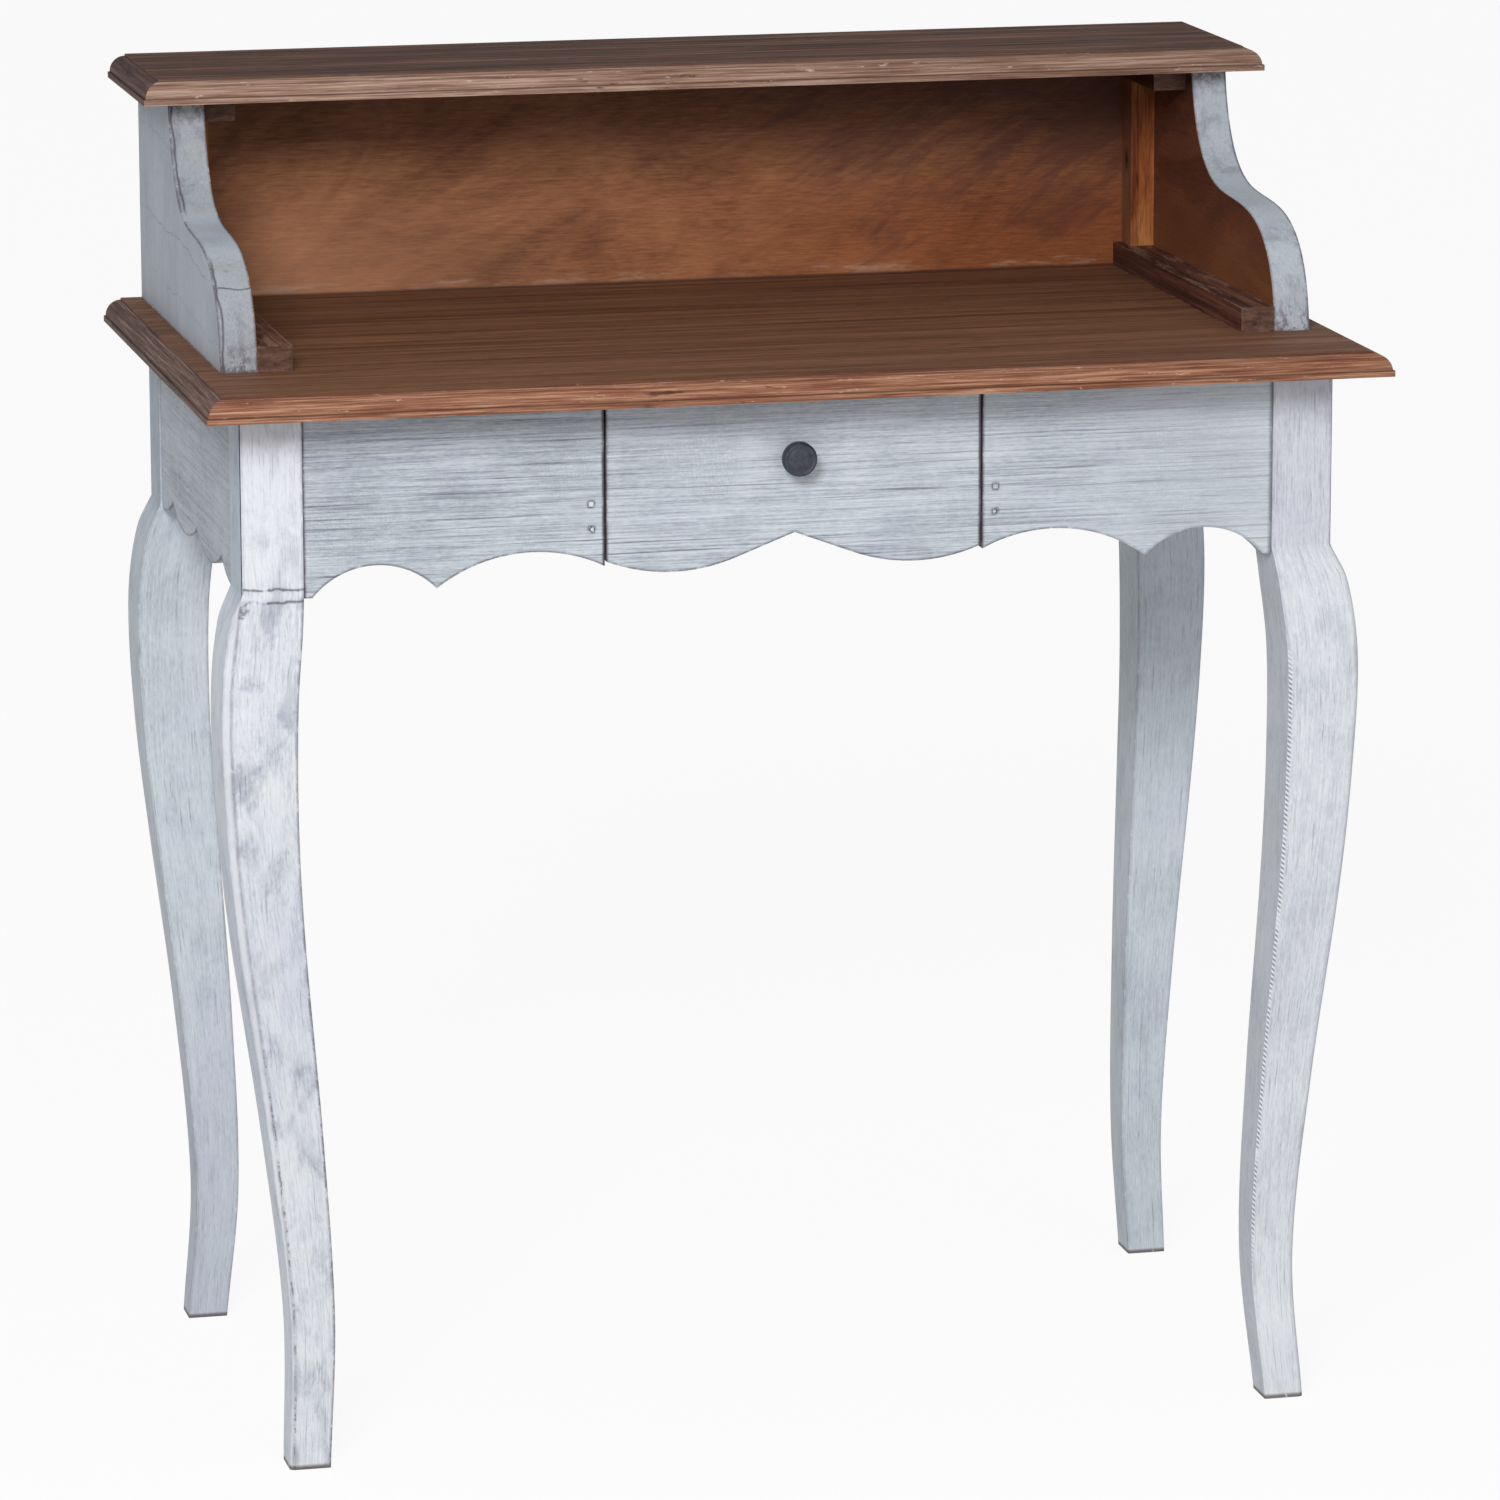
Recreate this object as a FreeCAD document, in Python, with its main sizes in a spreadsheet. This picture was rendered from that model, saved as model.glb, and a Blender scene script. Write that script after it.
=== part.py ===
import FreeCAD, Part
import os
import re
import Sketcher

# A bonheur du jour: a small writing desk on cabriole legs, with a hutch and one drawer.
# Millimetres. The origin is on the floor at the middle of the footprint, +Z is up and the
# drawer opens towards -Y. Left pieces are drawn, and right pieces mirror them.

os.makedirs("parts", exist_ok=True)
doc = FreeCAD.newDocument("bonheur_du_jour")

SIZES = {
    # Overall
    "desk_width": 900,
    "desk_depth": 500,
    "surface_height": 818,
    "hutch_height": 174,
    "board": 18,
    # Ovolo moulding on the front and ends of both boards
    "lip_height": 4.5,
    "lip_width": 1.5,
    "quirk": 1.5,
    # Posts, and the sections of the legs below them: reach is how far the outer faces stand
    # out from the post's, kick how much further forward and toe_in how much further in a
    # front leg swings. The outer edge has a chamfer that stops at the post.
    "post": 47,
    "post_length": 136,
    "side_overhang": 32,
    "front_overhang": 53,
    "back_overhang": 20,
    "foot_width": 31,
    "foot_reach": -11.5,
    "foot_kick": 40,
    "foot_toe_in": 10,
    "ankle_height": 110,
    "ankle_width": 34,
    "ankle_reach": -18,
    "ankle_kick": 31,
    "ankle_toe_in": 8,
    "shin_height": 250,
    "shin_width": 41,
    "shin_reach": -8.5,
    "shin_kick": 20,
    "shin_toe_in": 4,
    "calf_height": 400,
    "calf_width": 49.5,
    "calf_reach": 7.5,
    "calf_kick": 6,
    "thigh_width": 53.5,
    "thigh_reach": 15.5,
    "knee_drop": 84,
    "knee_width": 56.5,
    "knee_reach": 18,
    "shoulder_drop": 26,
    "shoulder_width": 55,
    "shoulder_reach": 11,
    "chamfer": 6,
    "chamfer_stop": 0.6,
    # Aprons and their tenons
    "apron": 20,
    "apron_setback": 1.5,
    "tenon": 10,
    "tenon_length": 20,
    "tenon_shoulder": 14,
    "glue_gap": 0.5,
    # Scallops, as drops below the writing board
    "heel_flat": 6,
    "heel_drop": 141,
    "outer_arch_rise": 21,
    "point_inset": 99,
    "point_drop": 138,
    "inner_arch_rise": 18,
    "seam_drop": 127,
    "cusp_spacing": 115,
    "cusp_drop": 125,
    "side_lobe_sag": 14,
    "side_heel_drop": 139,
    "side_heel_sag": 4,
    "back_apron_height": 116,
    # The drawer's way
    "opening": 290,
    "partition": 20,
    "housing": 6,
    "runner_width": 20,
    "runner_height": 16,
    "stop_length": 20,
    "stop_height": 18,
    "stop_gap": 0.5,
    # Drawer
    "drawer_gap": 1.5,
    "drawer_top_gap": 2,
    "running_gap": 0.8,
    "drawer_end_drop": 124,
    "lobe_place": 45,
    "lobe_drop": 125,
    "lobe_sag": 9.3,
    "peak_drop": 108,
    "drawer_side": 12,
    "drawer_side_height": 84,
    "drawer_space": 54,
    "drawer_rabbet": 8,
    "drawer_housing": 4,
    "drawer_back_inset": 10,
    "drawer_panel": 5,
    "panel_lift": 8,
    "groove": 6,
    # Knob
    "knob_drop": 50,
    "knob_length": 21,
    "knob_neck": 13,
    "knob_head": 26,
    "knob_rim": 9,
    "knob_bevel": 2,
    # Hutch sides: depths at foot and top, and the control points of the S between them
    "hutch_overhang": 30,
    "hutch_side": 28,
    "hutch_back_inset": 3,
    "hutch_foot": 377,
    "hutch_top": 150,
    "neck_step": 6,
    "neck_drop": 41,
    "hollow_step": 46,
    "hollow_height": 79,
    "bulge_step": 68,
    "bulge_height": 94,
    "belly_step": 5,
    "belly_height": 56,
    # Shelf, back panel and the strips that join them
    "shelf_overhang": 23,
    "shelf_nose": 30,
    "back_panel": 16,
    "back_panel_inset": 7,
    "cleat_width": 26,
    "cleat_height": 19,
    "shelf_cleat_length": 112,
    "batten": 20,
    "batten_length": 200,
    # Fasteners
    "screw": 4,
    "screw_head": 8,
    "screw_head_height": 3,
    "screw_bite": 11,
    "nail": 2.4,
    "nail_head": 4,
    "nail_head_height": 1.5,
    "nail_bite": 13,
    "hole_gap": 0.2,
    "hole_spare": 1,
    "top_screw_pitch": 140,
    "hutch_nail_pitch": 265,
    "back_nail_pitch": 70,
    "nail_drop": 80,
    "nail_pitch": 19,
}

sheet = doc.addObject("Spreadsheet::Sheet", "sizes")
for row, (name, size) in enumerate(SIZES.items(), start=1):
    sheet.set(f"A{row}", name)
    sheet.set(f"B{row}", str(size))
    sheet.setAlias(f"B{row}", name)
doc.recompute()

# Places, worked out from the sizes. X places are those of the right side.
UNDERSIDE = "(surface_height - board)"
OVOLO = "(board - lip_height - quirk)"
SHELF_UNDERSIDE = "(surface_height + hutch_height)"
POST_OUTER = "(desk_width/2 - side_overhang)"
POST_INNER = f"({POST_OUTER} - post)"
FRONT_POST = "(front_overhang - desk_depth/2)"
BACK_POST = "(desk_depth/2 - back_overhang)"
MIDDLE = f"({FRONT_POST}/2 + {BACK_POST}/2)"
BLOCK_BOTTOM = f"({UNDERSIDE} - post_length)"
KNEE = f"({BLOCK_BOTTOM} - knee_drop)"
THIGH = f"(calf_height/2 + {KNEE}/2)"
FRONT_FACE = f"({FRONT_POST} + apron_setback)"
FRONT_INSIDE = f"({FRONT_FACE} + apron)"
SIDE_FACE = f"({POST_OUTER} - apron_setback)"
SIDE_INSIDE = f"({SIDE_FACE} - apron)"
BACK_INSIDE = f"({BACK_POST} - apron_setback - apron)"
RAIL_BOTTOM = f"({UNDERSIDE} - back_apron_height)"
TENON_TOP = f"({UNDERSIDE} - tenon_shoulder)"
TENON_BOTTOM = f"({RAIL_BOTTOM} + tenon_shoulder)"
TENON_INSET = "((apron - tenon)/2)"
RUNNER_TOP = f"({RAIL_BOTTOM} + runner_height)"
PARTITION_OUTER = "(opening/2 + partition)"
DRAWER_OUTER = "(opening/2 - drawer_gap)"
DRAWER_INNER = f"({DRAWER_OUTER} - drawer_side)"
BOX_BOTTOM = f"({RUNNER_TOP} + running_gap)"
BOX_TOP = f"({BOX_BOTTOM} + drawer_side_height)"
BOX_END = f"({BACK_INSIDE} - drawer_space)"
PANEL_BOTTOM = f"({BOX_BOTTOM} + panel_lift)"
PANEL_TOP = f"({PANEL_BOTTOM} + drawer_panel)"
DRAWER_BACK_END = f"({BOX_END} - drawer_back_inset)"
DRAWER_BACK_FRONT = f"({DRAWER_BACK_END} - drawer_side)"
KNOB_HEIGHT = f"({UNDERSIDE} - knob_drop)"
HUTCH_OUTER = "(desk_width/2 - hutch_overhang)"
HUTCH_INNER = f"({HUTCH_OUTER} - hutch_side)"
HUTCH_BACK = "(desk_depth/2 - hutch_back_inset)"
HUTCH_FOOT = f"({HUTCH_BACK} - hutch_foot)"
HUTCH_TOP = f"({HUTCH_BACK} - hutch_top)"
SHELF_HALF = f"({HUTCH_OUTER} + shelf_overhang)"
SHELF_FRONT = f"({HUTCH_TOP} - shelf_nose)"
PANEL_BACK = f"({HUTCH_BACK} - back_panel_inset)"
PANEL_FRONT = f"({PANEL_BACK} - back_panel)"
CLEAT_INNER = f"({HUTCH_INNER} - cleat_width)"
CORNER_INNER = f"({HUTCH_INNER} - cleat_height)"
CORNER_FRONT = f"({PANEL_FRONT} - cleat_width)"
CORNER_BOTTOM = "(surface_height + cleat_height)"
CORNER_TOP = f"({SHELF_UNDERSIDE} - cleat_height)"
SHELF_CLEAT_FRONT = f"({PANEL_FRONT} - shelf_cleat_length)"

# For each sketch plane, the axis across it and the way that its normal points, and its own axes
ACROSS = {"XY_Plane": ("z", 1), "XZ_Plane": ("y", -1), "YZ_Plane": ("x", 1)}
ALONG = {"XY_Plane": "xy", "XZ_Plane": "xz", "YZ_Plane": "yz"}
nodes = {}
places = {}


def bound(text):
    """The expression, with each size's name pointing at its cell."""
    return re.sub(r"[a-z_]+", lambda m: f"sizes.{m[0]}" if m[0] in SIZES else m[0], text)


def value(text):
    """The expression's present value."""
    return float(sheet.evalExpression(bound(text)))


def vector(point):
    return FreeCAD.Vector(value(point[0]), value(point[1]), 0)


def rectangle(left, right, bottom, top):
    return [(left, bottom), (right, bottom), (right, top), (left, top)]


def mirror_points(points):
    return [(f"-({across})", up) for across, up in points]


def new_body(label, plane, at):
    """An empty body that stands at the given place across its main plane."""
    body = doc.addObject("PartDesign::Body", label)
    body.Label = label
    body.setExpression(f"Placement.Base.{ACROSS[plane][0]}", bound(at))
    nodes[label] = body
    places[label] = (ACROSS[plane][0], at)
    return body


def new_sketch(body, plane, at):
    """An empty sketch on one of the body's own planes, moved across it to the given place."""
    support = next(f for f in body.Origin.OriginFeatures if f.Role == plane)
    sketch = body.newObject("Sketcher::SketchObject", f"{body.Name}_sketch")
    sketch.AttachmentSupport = [(support, "")]
    sketch.MapMode = "FlatFace"
    sketch.setExpression("AttachmentOffset.Base.z", bound(f"{ACROSS[plane][1]}*({at})"))
    return sketch


def constrain(sketch, kind, *where, size):
    """Adds a dimension to the sketch and binds it to its expression."""
    index = sketch.addConstraint(Sketcher.Constraint(kind, *where, value(size)))
    sketch.setExpression(f"Constraints[{index}]", bound(size))


def pin(sketch, geometry, position, point):
    """Dimensions a sketch point from the sketch's origin."""
    constrain(sketch, "DistanceX", -1, 1, geometry, position, size=point[0])
    constrain(sketch, "DistanceY", -1, 1, geometry, position, size=point[1])


def draw_arc(sketch, start, end, sag):
    """An arc that bows by sag to the right of the way from start to end, or left if negative."""
    first, last = vector(start), vector(end)
    chord = last - first
    aside = FreeCAD.Vector(chord.y, -chord.x, 0).normalize()
    crown = (first + last) * 0.5 + aside * value(sag)
    arc = sketch.addGeometry(Part.Arc(first, crown, last), False)
    chord_squared = f"((({end[0]}) - ({start[0]}))^2 + (({end[1]}) - ({start[1]}))^2)"
    constrain(sketch, "Radius", arc, size=f"{chord_squared}/(8*abs({sag})) + abs({sag})/2")
    return arc


def draw_curve(sketch, points):
    """A cubic curve with the given control points."""
    curve = Part.BSplineCurve([vector(p) for p in points], None, None, False, 3, None, False)
    edge = sketch.addGeometry(curve, False)
    sketch.exposeInternalGeometry(edge)
    for number, point in enumerate(points[1:-1], start=2):
        pin(sketch, edge + number, 3, point)
    return edge


def draw_outline(sketch, corners, bends=None, poles=None):
    """A closed outline. By the number of the corner that an edge leaves, bends gives the sag of
    an arc and poles the inner control points of a curve; other edges are straight."""
    edges = []
    for number, corner in enumerate(corners):
        following = corners[(number + 1) % len(corners)]
        if bends and number in bends:
            edge = draw_arc(sketch, corner, following, bends[number])
        elif poles and number in poles:
            edge = draw_curve(sketch, [corner, *poles[number], following])
        else:
            edge = sketch.addGeometry(Part.LineSegment(vector(corner), vector(following)), False)
        runs_back = (sketch.getPoint(edge, 1) - vector(corner)).Length > 1e-3
        edges.append((edge, 2, 1) if runs_back else (edge, 1, 2))
    for number, (edge, start, _) in enumerate(edges):
        before, _, before_end = edges[number - 1]
        sketch.addConstraint(Sketcher.Constraint("Coincident", before, before_end, edge, start))
        pin(sketch, edge, start, corners[number])


def draw_squares(sketch, spots, width):
    half = f"({width})/2"
    for across, up in spots:
        draw_outline(sketch, rectangle(f"{across} - {half}", f"{across} + {half}",
                                       f"{up} - {half}", f"{up} + {half}"))


def draw_circles(sketch, spots, diameter):
    for spot in spots:
        circle = Part.Circle(vector(spot), FreeCAD.Vector(0, 0, 1), value(diameter) / 2)
        edge = sketch.addGeometry(circle, False)
        pin(sketch, edge, 3, spot)
        constrain(sketch, "Diameter", edge, size=diameter)


def extrude(body, kind, plane, sketch, length, flare=None):
    """Pads or pockets the sketch towards the positive end of the axis across its plane, widening
    by the angle of flare if there is one."""
    feature = body.newObject(f"PartDesign::{kind}", f"{body.Name}_{kind.lower()}")
    feature.Profile = sketch
    feature.setExpression("Length", bound(length))
    if flare:
        feature.setExpression("TaperAngle", bound(flare))
    feature.Reversed = (ACROSS[plane][1] > 0) == (kind == "Pocket")


def pad(body, plane, at, length, corners, bends=None, poles=None):
    sketch = new_sketch(body, plane, at)
    draw_outline(sketch, corners, bends, poles)
    extrude(body, "Pad", plane, sketch, length)


def pocket(body, plane, at, length, corners, bends=None):
    sketch = new_sketch(body, plane, at)
    draw_outline(sketch, corners, bends)
    extrude(body, "Pocket", plane, sketch, length)


def pins(body, kind, plane, at, length, spots, width, draw=draw_circles, flare=None):
    """Slim pads or bores at several spots."""
    sketch = new_sketch(body, plane, at)
    draw(sketch, spots, width)
    extrude(body, kind, plane, sketch, length, flare)


def board(label, plane, at, thickness, corners, bends=None, poles=None):
    """A flat piece that starts at the given place across the plane."""
    body = new_body(label, plane, at)
    pad(body, plane, "0", thickness, corners, bends, poles)
    return body


def mirror(label, source):
    """The twin of a piece on the right side of the desk."""
    twin = doc.addObject("Part::Mirroring", label)
    twin.Label = label
    twin.Source = source
    twin.Normal = FreeCAD.Vector(1, 0, 0)
    nodes[label] = twin
    return twin


def pair(name, *args, **kwargs):
    """A left board and its right twin."""
    left = board(f"{name}_left", *args, **kwargs)
    mirror(f"{name}_right", left)
    return left


def mould(body, half_width, front, depth):
    """Cuts the ovolo along the front and both ends of a moulded board."""
    bow = f"(1 - sqrt(0.5))*{OVOLO}"

    def section(edge):
        shoulder = f"({edge} + lip_width)"
        crest = f"({shoulder} + {OVOLO})"
        return [(edge, "lip_height"), (shoulder, "lip_height"), (crest, "board - quirk"),
                (crest, "board"), (edge, "board")]

    end = section(f"-({half_width})")
    pocket(body, "YZ_Plane", f"-({half_width})", f"2*({half_width})", section(front), {1: f"-{bow}"})
    pocket(body, "XZ_Plane", front, depth, end, {1: f"-{bow}"})
    pocket(body, "XZ_Plane", front, depth, mirror_points(end), {1: bow})


def seen_from(piece, plane, spots, head):
    """Spots on the desk and the place of their heads, in the piece's own frame."""
    axis, at = places[piece.Label]
    if axis == ACROSS[plane][0]:
        return spots, f"({head} - ({at}))"
    moved = ALONG[plane].index(axis)
    shifts = [f" - ({at})" if column == moved else "" for column in range(2)]
    return [(across + shifts[0], up + shifts[1]) for across, up in spots], head


def drive(body, feature, plane, face, way, length, spots, kind, headed, gap="0"):
    """Pads screws or cut nails from the face that their heads are flush with, or bores their
    holes. Way is 1 or -1 along the axis across the plane."""
    draw = draw_squares if kind == "nail" else draw_circles
    shank = f"({kind} + 2*{gap})"
    pins(body, feature, plane, face if way > 0 else f"{face} - {length}", length, spots, shank, draw)
    if headed:
        sunk = f"{kind}_head_height"
        flare = f"{-way}*atan(({kind}_head - {kind})/2/{sunk})"
        width = f"({kind}_head + 2*{gap})" if way > 0 else shank
        pins(body, feature, plane, face if way > 0 else f"{face} - {sunk}", sunk, spots, width, draw, flare)


def fasten(label, plane, spots, head, way, length, seat, takers, kind="screw"):
    """A group of screws or nails with their heads sunk in the seat, and the holes for them. A left
    piece has only the holes on its own side."""
    body = new_body(label, plane, head)
    drive(body, "Pad", plane, "0", way, f"({length})", spots, kind, True)
    for piece in [seat, *takers]:
        one_sided = piece.Label.endswith("_left") and plane != "YZ_Plane"
        own_spots = [spot for spot in spots if not one_sided or value(spot[0]) < 0]
        local_spots, face = seen_from(piece, plane, own_spots, head)
        drive(piece, "Pocket", plane, face, way, f"({length} + hole_spare)", local_spots, kind,
              piece is seat, "hole_gap")
    return body


def both_sides(spots):
    return spots + mirror_points(spots)


# Boards

desk_top = board("desk_top", "XY_Plane", UNDERSIDE, "board",
                 rectangle("-desk_width/2", "desk_width/2", "-desk_depth/2", "desk_depth/2"))
mould(desk_top, "desk_width/2", "-desk_depth/2", "desk_depth")

upper_shelf = board("upper_shelf", "XY_Plane", SHELF_UNDERSIDE, "board",
                    rectangle(f"-{SHELF_HALF}", SHELF_HALF, SHELF_FRONT, "desk_depth/2"))
mould(upper_shelf, SHELF_HALF, SHELF_FRONT, f"desk_depth/2 - {SHELF_FRONT}")

# Legs: sections lofted from the foot to the knee, and from there over the shoulder to the post


def make_leg(label, post_face, end, swings):
    """A left leg. End is -1 at the front and 1 at the back, and swings gives the kick and toe-in
    of its lower sections. Its post takes two tenons, from the aprons that meet at its corner."""
    body = new_body(label, "XY_Plane", "0")
    body.setExpression("Placement.Base.x", bound(f"post/2 - {POST_OUTER}"))
    body.setExpression("Placement.Base.y", bound(f"{post_face} - {end}*post/2"))
    stations = [
        ("0", "foot_width", "foot_reach", "chamfer"),
        ("ankle_height", "ankle_width", "ankle_reach", "chamfer"),
        ("shin_height", "shin_width", "shin_reach", "chamfer"),
        ("calf_height", "calf_width", "calf_reach", "chamfer"),
        (THIGH, "thigh_width", "thigh_reach", "chamfer"),
        (KNEE, "knee_width", "knee_reach", "chamfer"),
        (f"{BLOCK_BOTTOM} - shoulder_drop", "shoulder_width", "shoulder_reach", "chamfer"),
        (BLOCK_BOTTOM, "post", "0", "chamfer_stop"),
    ]
    sections = []
    for (height, width, reach, cut), (kick, toe_in) in zip(stations, swings):
        outer = f"(post/2 + {reach} - {toe_in})"
        kicked = f"(post/2 + {reach} + {kick})"
        sketch = new_sketch(body, "XY_Plane", height)
        draw_outline(sketch, [(f"{cut} - {outer}", f"{end}*{kicked}"),
                              (f"{width} - {outer}", f"{end}*{kicked}"),
                              (f"{width} - {outer}", f"{end}*({kicked} - {width})"),
                              (f"-{outer}", f"{end}*({kicked} - {width})"),
                              (f"-{outer}", f"{end}*({kicked} - {cut})")])
        sections.append(sketch)
    knee = len(sections) - 3
    for first, last in ((0, knee), (knee, len(sections) - 1)):
        loft = body.newObject("PartDesign::AdditiveLoft", f"{label}_loft")
        loft.Profile = sections[first]
        loft.Sections = sections[first + 1:last + 1]
    pad(body, "XY_Plane", BLOCK_BOTTOM, "post_length", rectangle("-post/2", "post/2", "-post/2", "post/2"))

    mortise_depth = "tenon_length + glue_gap"
    near = f"(post/2 - apron_setback - {TENON_INSET})"
    far = f"({near} - tenon)"
    pocket(body, "YZ_Plane", f"post/2 - ({mortise_depth})", mortise_depth,
           rectangle(f"{end}*{near}", f"{end}*{far}", TENON_BOTTOM, TENON_TOP))
    pocket(body, "XZ_Plane", f"post/2 - ({mortise_depth})" if end < 0 else "-post/2", mortise_depth,
           rectangle(f"-{near}", f"-{far}", TENON_BOTTOM, TENON_TOP))
    mirror(label.replace("left", "right"), body)


STRAIGHT = ("0", "0")
make_leg("leg_front_left", FRONT_POST, -1,
         [("foot_kick", "foot_toe_in"), ("ankle_kick", "ankle_toe_in"), ("shin_kick", "shin_toe_in"),
          ("calf_kick", "0"), STRAIGHT, STRAIGHT, STRAIGHT, STRAIGHT])
make_leg("leg_back_left", BACK_POST, 1, [STRAIGHT]*8)

# Aprons

front_apron = pair(
    "front_apron", "XZ_Plane", FRONT_FACE, "apron",
    [(f"-{POST_INNER}", UNDERSIDE),
     (f"-{POST_INNER}", f"{UNDERSIDE} - heel_drop"),
     (f"heel_flat - {POST_INNER}", f"{UNDERSIDE} - heel_drop"),
     (f"point_inset - {POST_INNER}", f"{UNDERSIDE} - point_drop"),
     ("-opening/2", f"{UNDERSIDE} - seam_drop"),
     ("-opening/2", UNDERSIDE)],
    bends={2: "-outer_arch_rise", 3: "-inner_arch_rise"})
front_tenon = rectangle(f"-{POST_INNER} - tenon_length", f"-{POST_INNER}", TENON_BOTTOM, TENON_TOP)
pad(front_apron, "XZ_Plane", TENON_INSET, "tenon", front_tenon)

side_start = f"({FRONT_POST} + post)"
side_end = f"({BACK_POST} - post)"
side_apron = pair(
    "side_apron", "YZ_Plane", f"-{SIDE_FACE}", "apron",
    [(side_start, UNDERSIDE),
     (side_start, f"{UNDERSIDE} - side_heel_drop"),
     (f"{MIDDLE} - cusp_spacing", f"{UNDERSIDE} - cusp_drop"),
     (MIDDLE, f"{UNDERSIDE} - cusp_drop"),
     (f"{MIDDLE} + cusp_spacing", f"{UNDERSIDE} - cusp_drop"),
     (side_end, f"{UNDERSIDE} - side_heel_drop"),
     (side_end, UNDERSIDE)],
    bends={1: "side_heel_sag", 2: "side_lobe_sag", 3: "side_lobe_sag", 4: "side_heel_sag"})
for tenon_start in (f"{side_start} - tenon_length", side_end):
    pad(side_apron, "YZ_Plane", TENON_INSET, "tenon",
        rectangle(tenon_start, f"{tenon_start} + tenon_length", TENON_BOTTOM, TENON_TOP))

back_apron = board("back_apron", "XZ_Plane", BACK_INSIDE, "apron",
                   rectangle(f"-{POST_INNER}", POST_INNER, RAIL_BOTTOM, UNDERSIDE))
for tenon in (front_tenon, mirror_points(front_tenon)):
    pad(back_apron, "XZ_Plane", TENON_INSET, "tenon", tenon)

# Drawer way: partitions housed in the back apron, runners and stops

partition_end = rectangle(f"-{PARTITION_OUTER}", "-opening/2", RAIL_BOTTOM, UNDERSIDE)
for housing in (partition_end, mirror_points(partition_end)):
    pocket(back_apron, "XZ_Plane", "0", "housing", housing)
partition = pair("partition", "YZ_Plane", f"-{PARTITION_OUTER}", "partition",
                 rectangle(FRONT_INSIDE, f"{BACK_INSIDE} + housing - glue_gap", RAIL_BOTTOM, UNDERSIDE))
pair("drawer_runner", "YZ_Plane", "-opening/2", "runner_width",
     rectangle(f"{FRONT_INSIDE} + drawer_gap", BACK_INSIDE, RAIL_BOTTOM, RUNNER_TOP))
pair("drawer_stop", "YZ_Plane", "-opening/2", "runner_width",
     rectangle(f"{BOX_END} + stop_gap", f"{BOX_END} + stop_gap + stop_length",
               RUNNER_TOP, f"{RUNNER_TOP} + stop_height"))

# Drawer

drawer_front = board(
    "drawer_front", "XZ_Plane", FRONT_FACE, "apron",
    [(f"-{DRAWER_OUTER}", f"{UNDERSIDE} - drawer_top_gap"),
     (f"-{DRAWER_OUTER}", f"{UNDERSIDE} - drawer_end_drop"),
     ("-lobe_place", f"{UNDERSIDE} - lobe_drop"),
     ("0", f"{UNDERSIDE} - peak_drop"),
     ("lobe_place", f"{UNDERSIDE} - lobe_drop"),
     (DRAWER_OUTER, f"{UNDERSIDE} - drawer_end_drop"),
     (DRAWER_OUTER, f"{UNDERSIDE} - drawer_top_gap")],
    bends={1: "lobe_sag", 4: "lobe_sag"})
side_rabbet = rectangle(f"-{DRAWER_OUTER}", f"-{DRAWER_INNER}", BOX_BOTTOM, BOX_TOP)
for rabbet in (side_rabbet, mirror_points(side_rabbet)):
    pocket(drawer_front, "XZ_Plane", "apron - drawer_rabbet", "drawer_rabbet", rabbet)
pocket(drawer_front, "XZ_Plane", "apron - groove", "groove",
       rectangle(f"-{DRAWER_INNER}", DRAWER_INNER, PANEL_BOTTOM, PANEL_TOP))

side_front_end = f"({FRONT_INSIDE} - drawer_rabbet)"
drawer_side = pair("drawer_side", "YZ_Plane", f"-{DRAWER_OUTER}", "drawer_side",
                   rectangle(side_front_end, BOX_END, BOX_BOTTOM, BOX_TOP))
pocket(drawer_side, "YZ_Plane", "drawer_side - groove", "groove",
       rectangle(side_front_end, BOX_END, PANEL_BOTTOM, PANEL_TOP))
pocket(drawer_side, "YZ_Plane", "drawer_side - drawer_housing", "drawer_housing",
       rectangle(DRAWER_BACK_FRONT, DRAWER_BACK_END, PANEL_TOP, BOX_TOP))

back_half = f"({DRAWER_INNER} + drawer_housing)"
board("drawer_back", "XZ_Plane", DRAWER_BACK_FRONT, "drawer_side",
      rectangle(f"-{back_half}", back_half, PANEL_TOP, BOX_TOP))
panel_half = f"({DRAWER_INNER} + groove - glue_gap)"
board("drawer_bottom", "XY_Plane", PANEL_BOTTOM, "drawer_panel",
      rectangle(f"-{panel_half}", panel_half, f"{FRONT_INSIDE} - groove + glue_gap", DRAWER_BACK_END))

# Knob: a turned disc with a bevelled rim on a neck

knob = new_body("drawer_knob", "XZ_Plane", FRONT_FACE)
knob.setExpression("Placement.Base.z", bound(KNOB_HEIGHT))
knob_sketch = new_sketch(knob, "YZ_Plane", "0")
draw_outline(
    knob_sketch,
    [("0", "0"),
     ("0", "knob_neck/2"),
     ("knob_rim - knob_length", "knob_neck/2"),
     ("knob_rim - knob_length", "knob_head/2"),
     ("knob_bevel - knob_length", "knob_head/2"),
     ("-knob_length", "knob_head/2 - knob_bevel"),
     ("-knob_length", "0")])
turning = knob.newObject("PartDesign::Revolution", "knob_turning")
turning.Profile = knob_sketch
turning.ReferenceAxis = (knob_sketch, ["H_Axis"])
turning.Angle = 360
pins(knob, "Pocket", "XZ_Plane", "-screw_bite - hole_spare", "screw_bite + hole_spare",
     [("0", "0")], "screw + 2*hole_gap")

# Hutch

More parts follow.
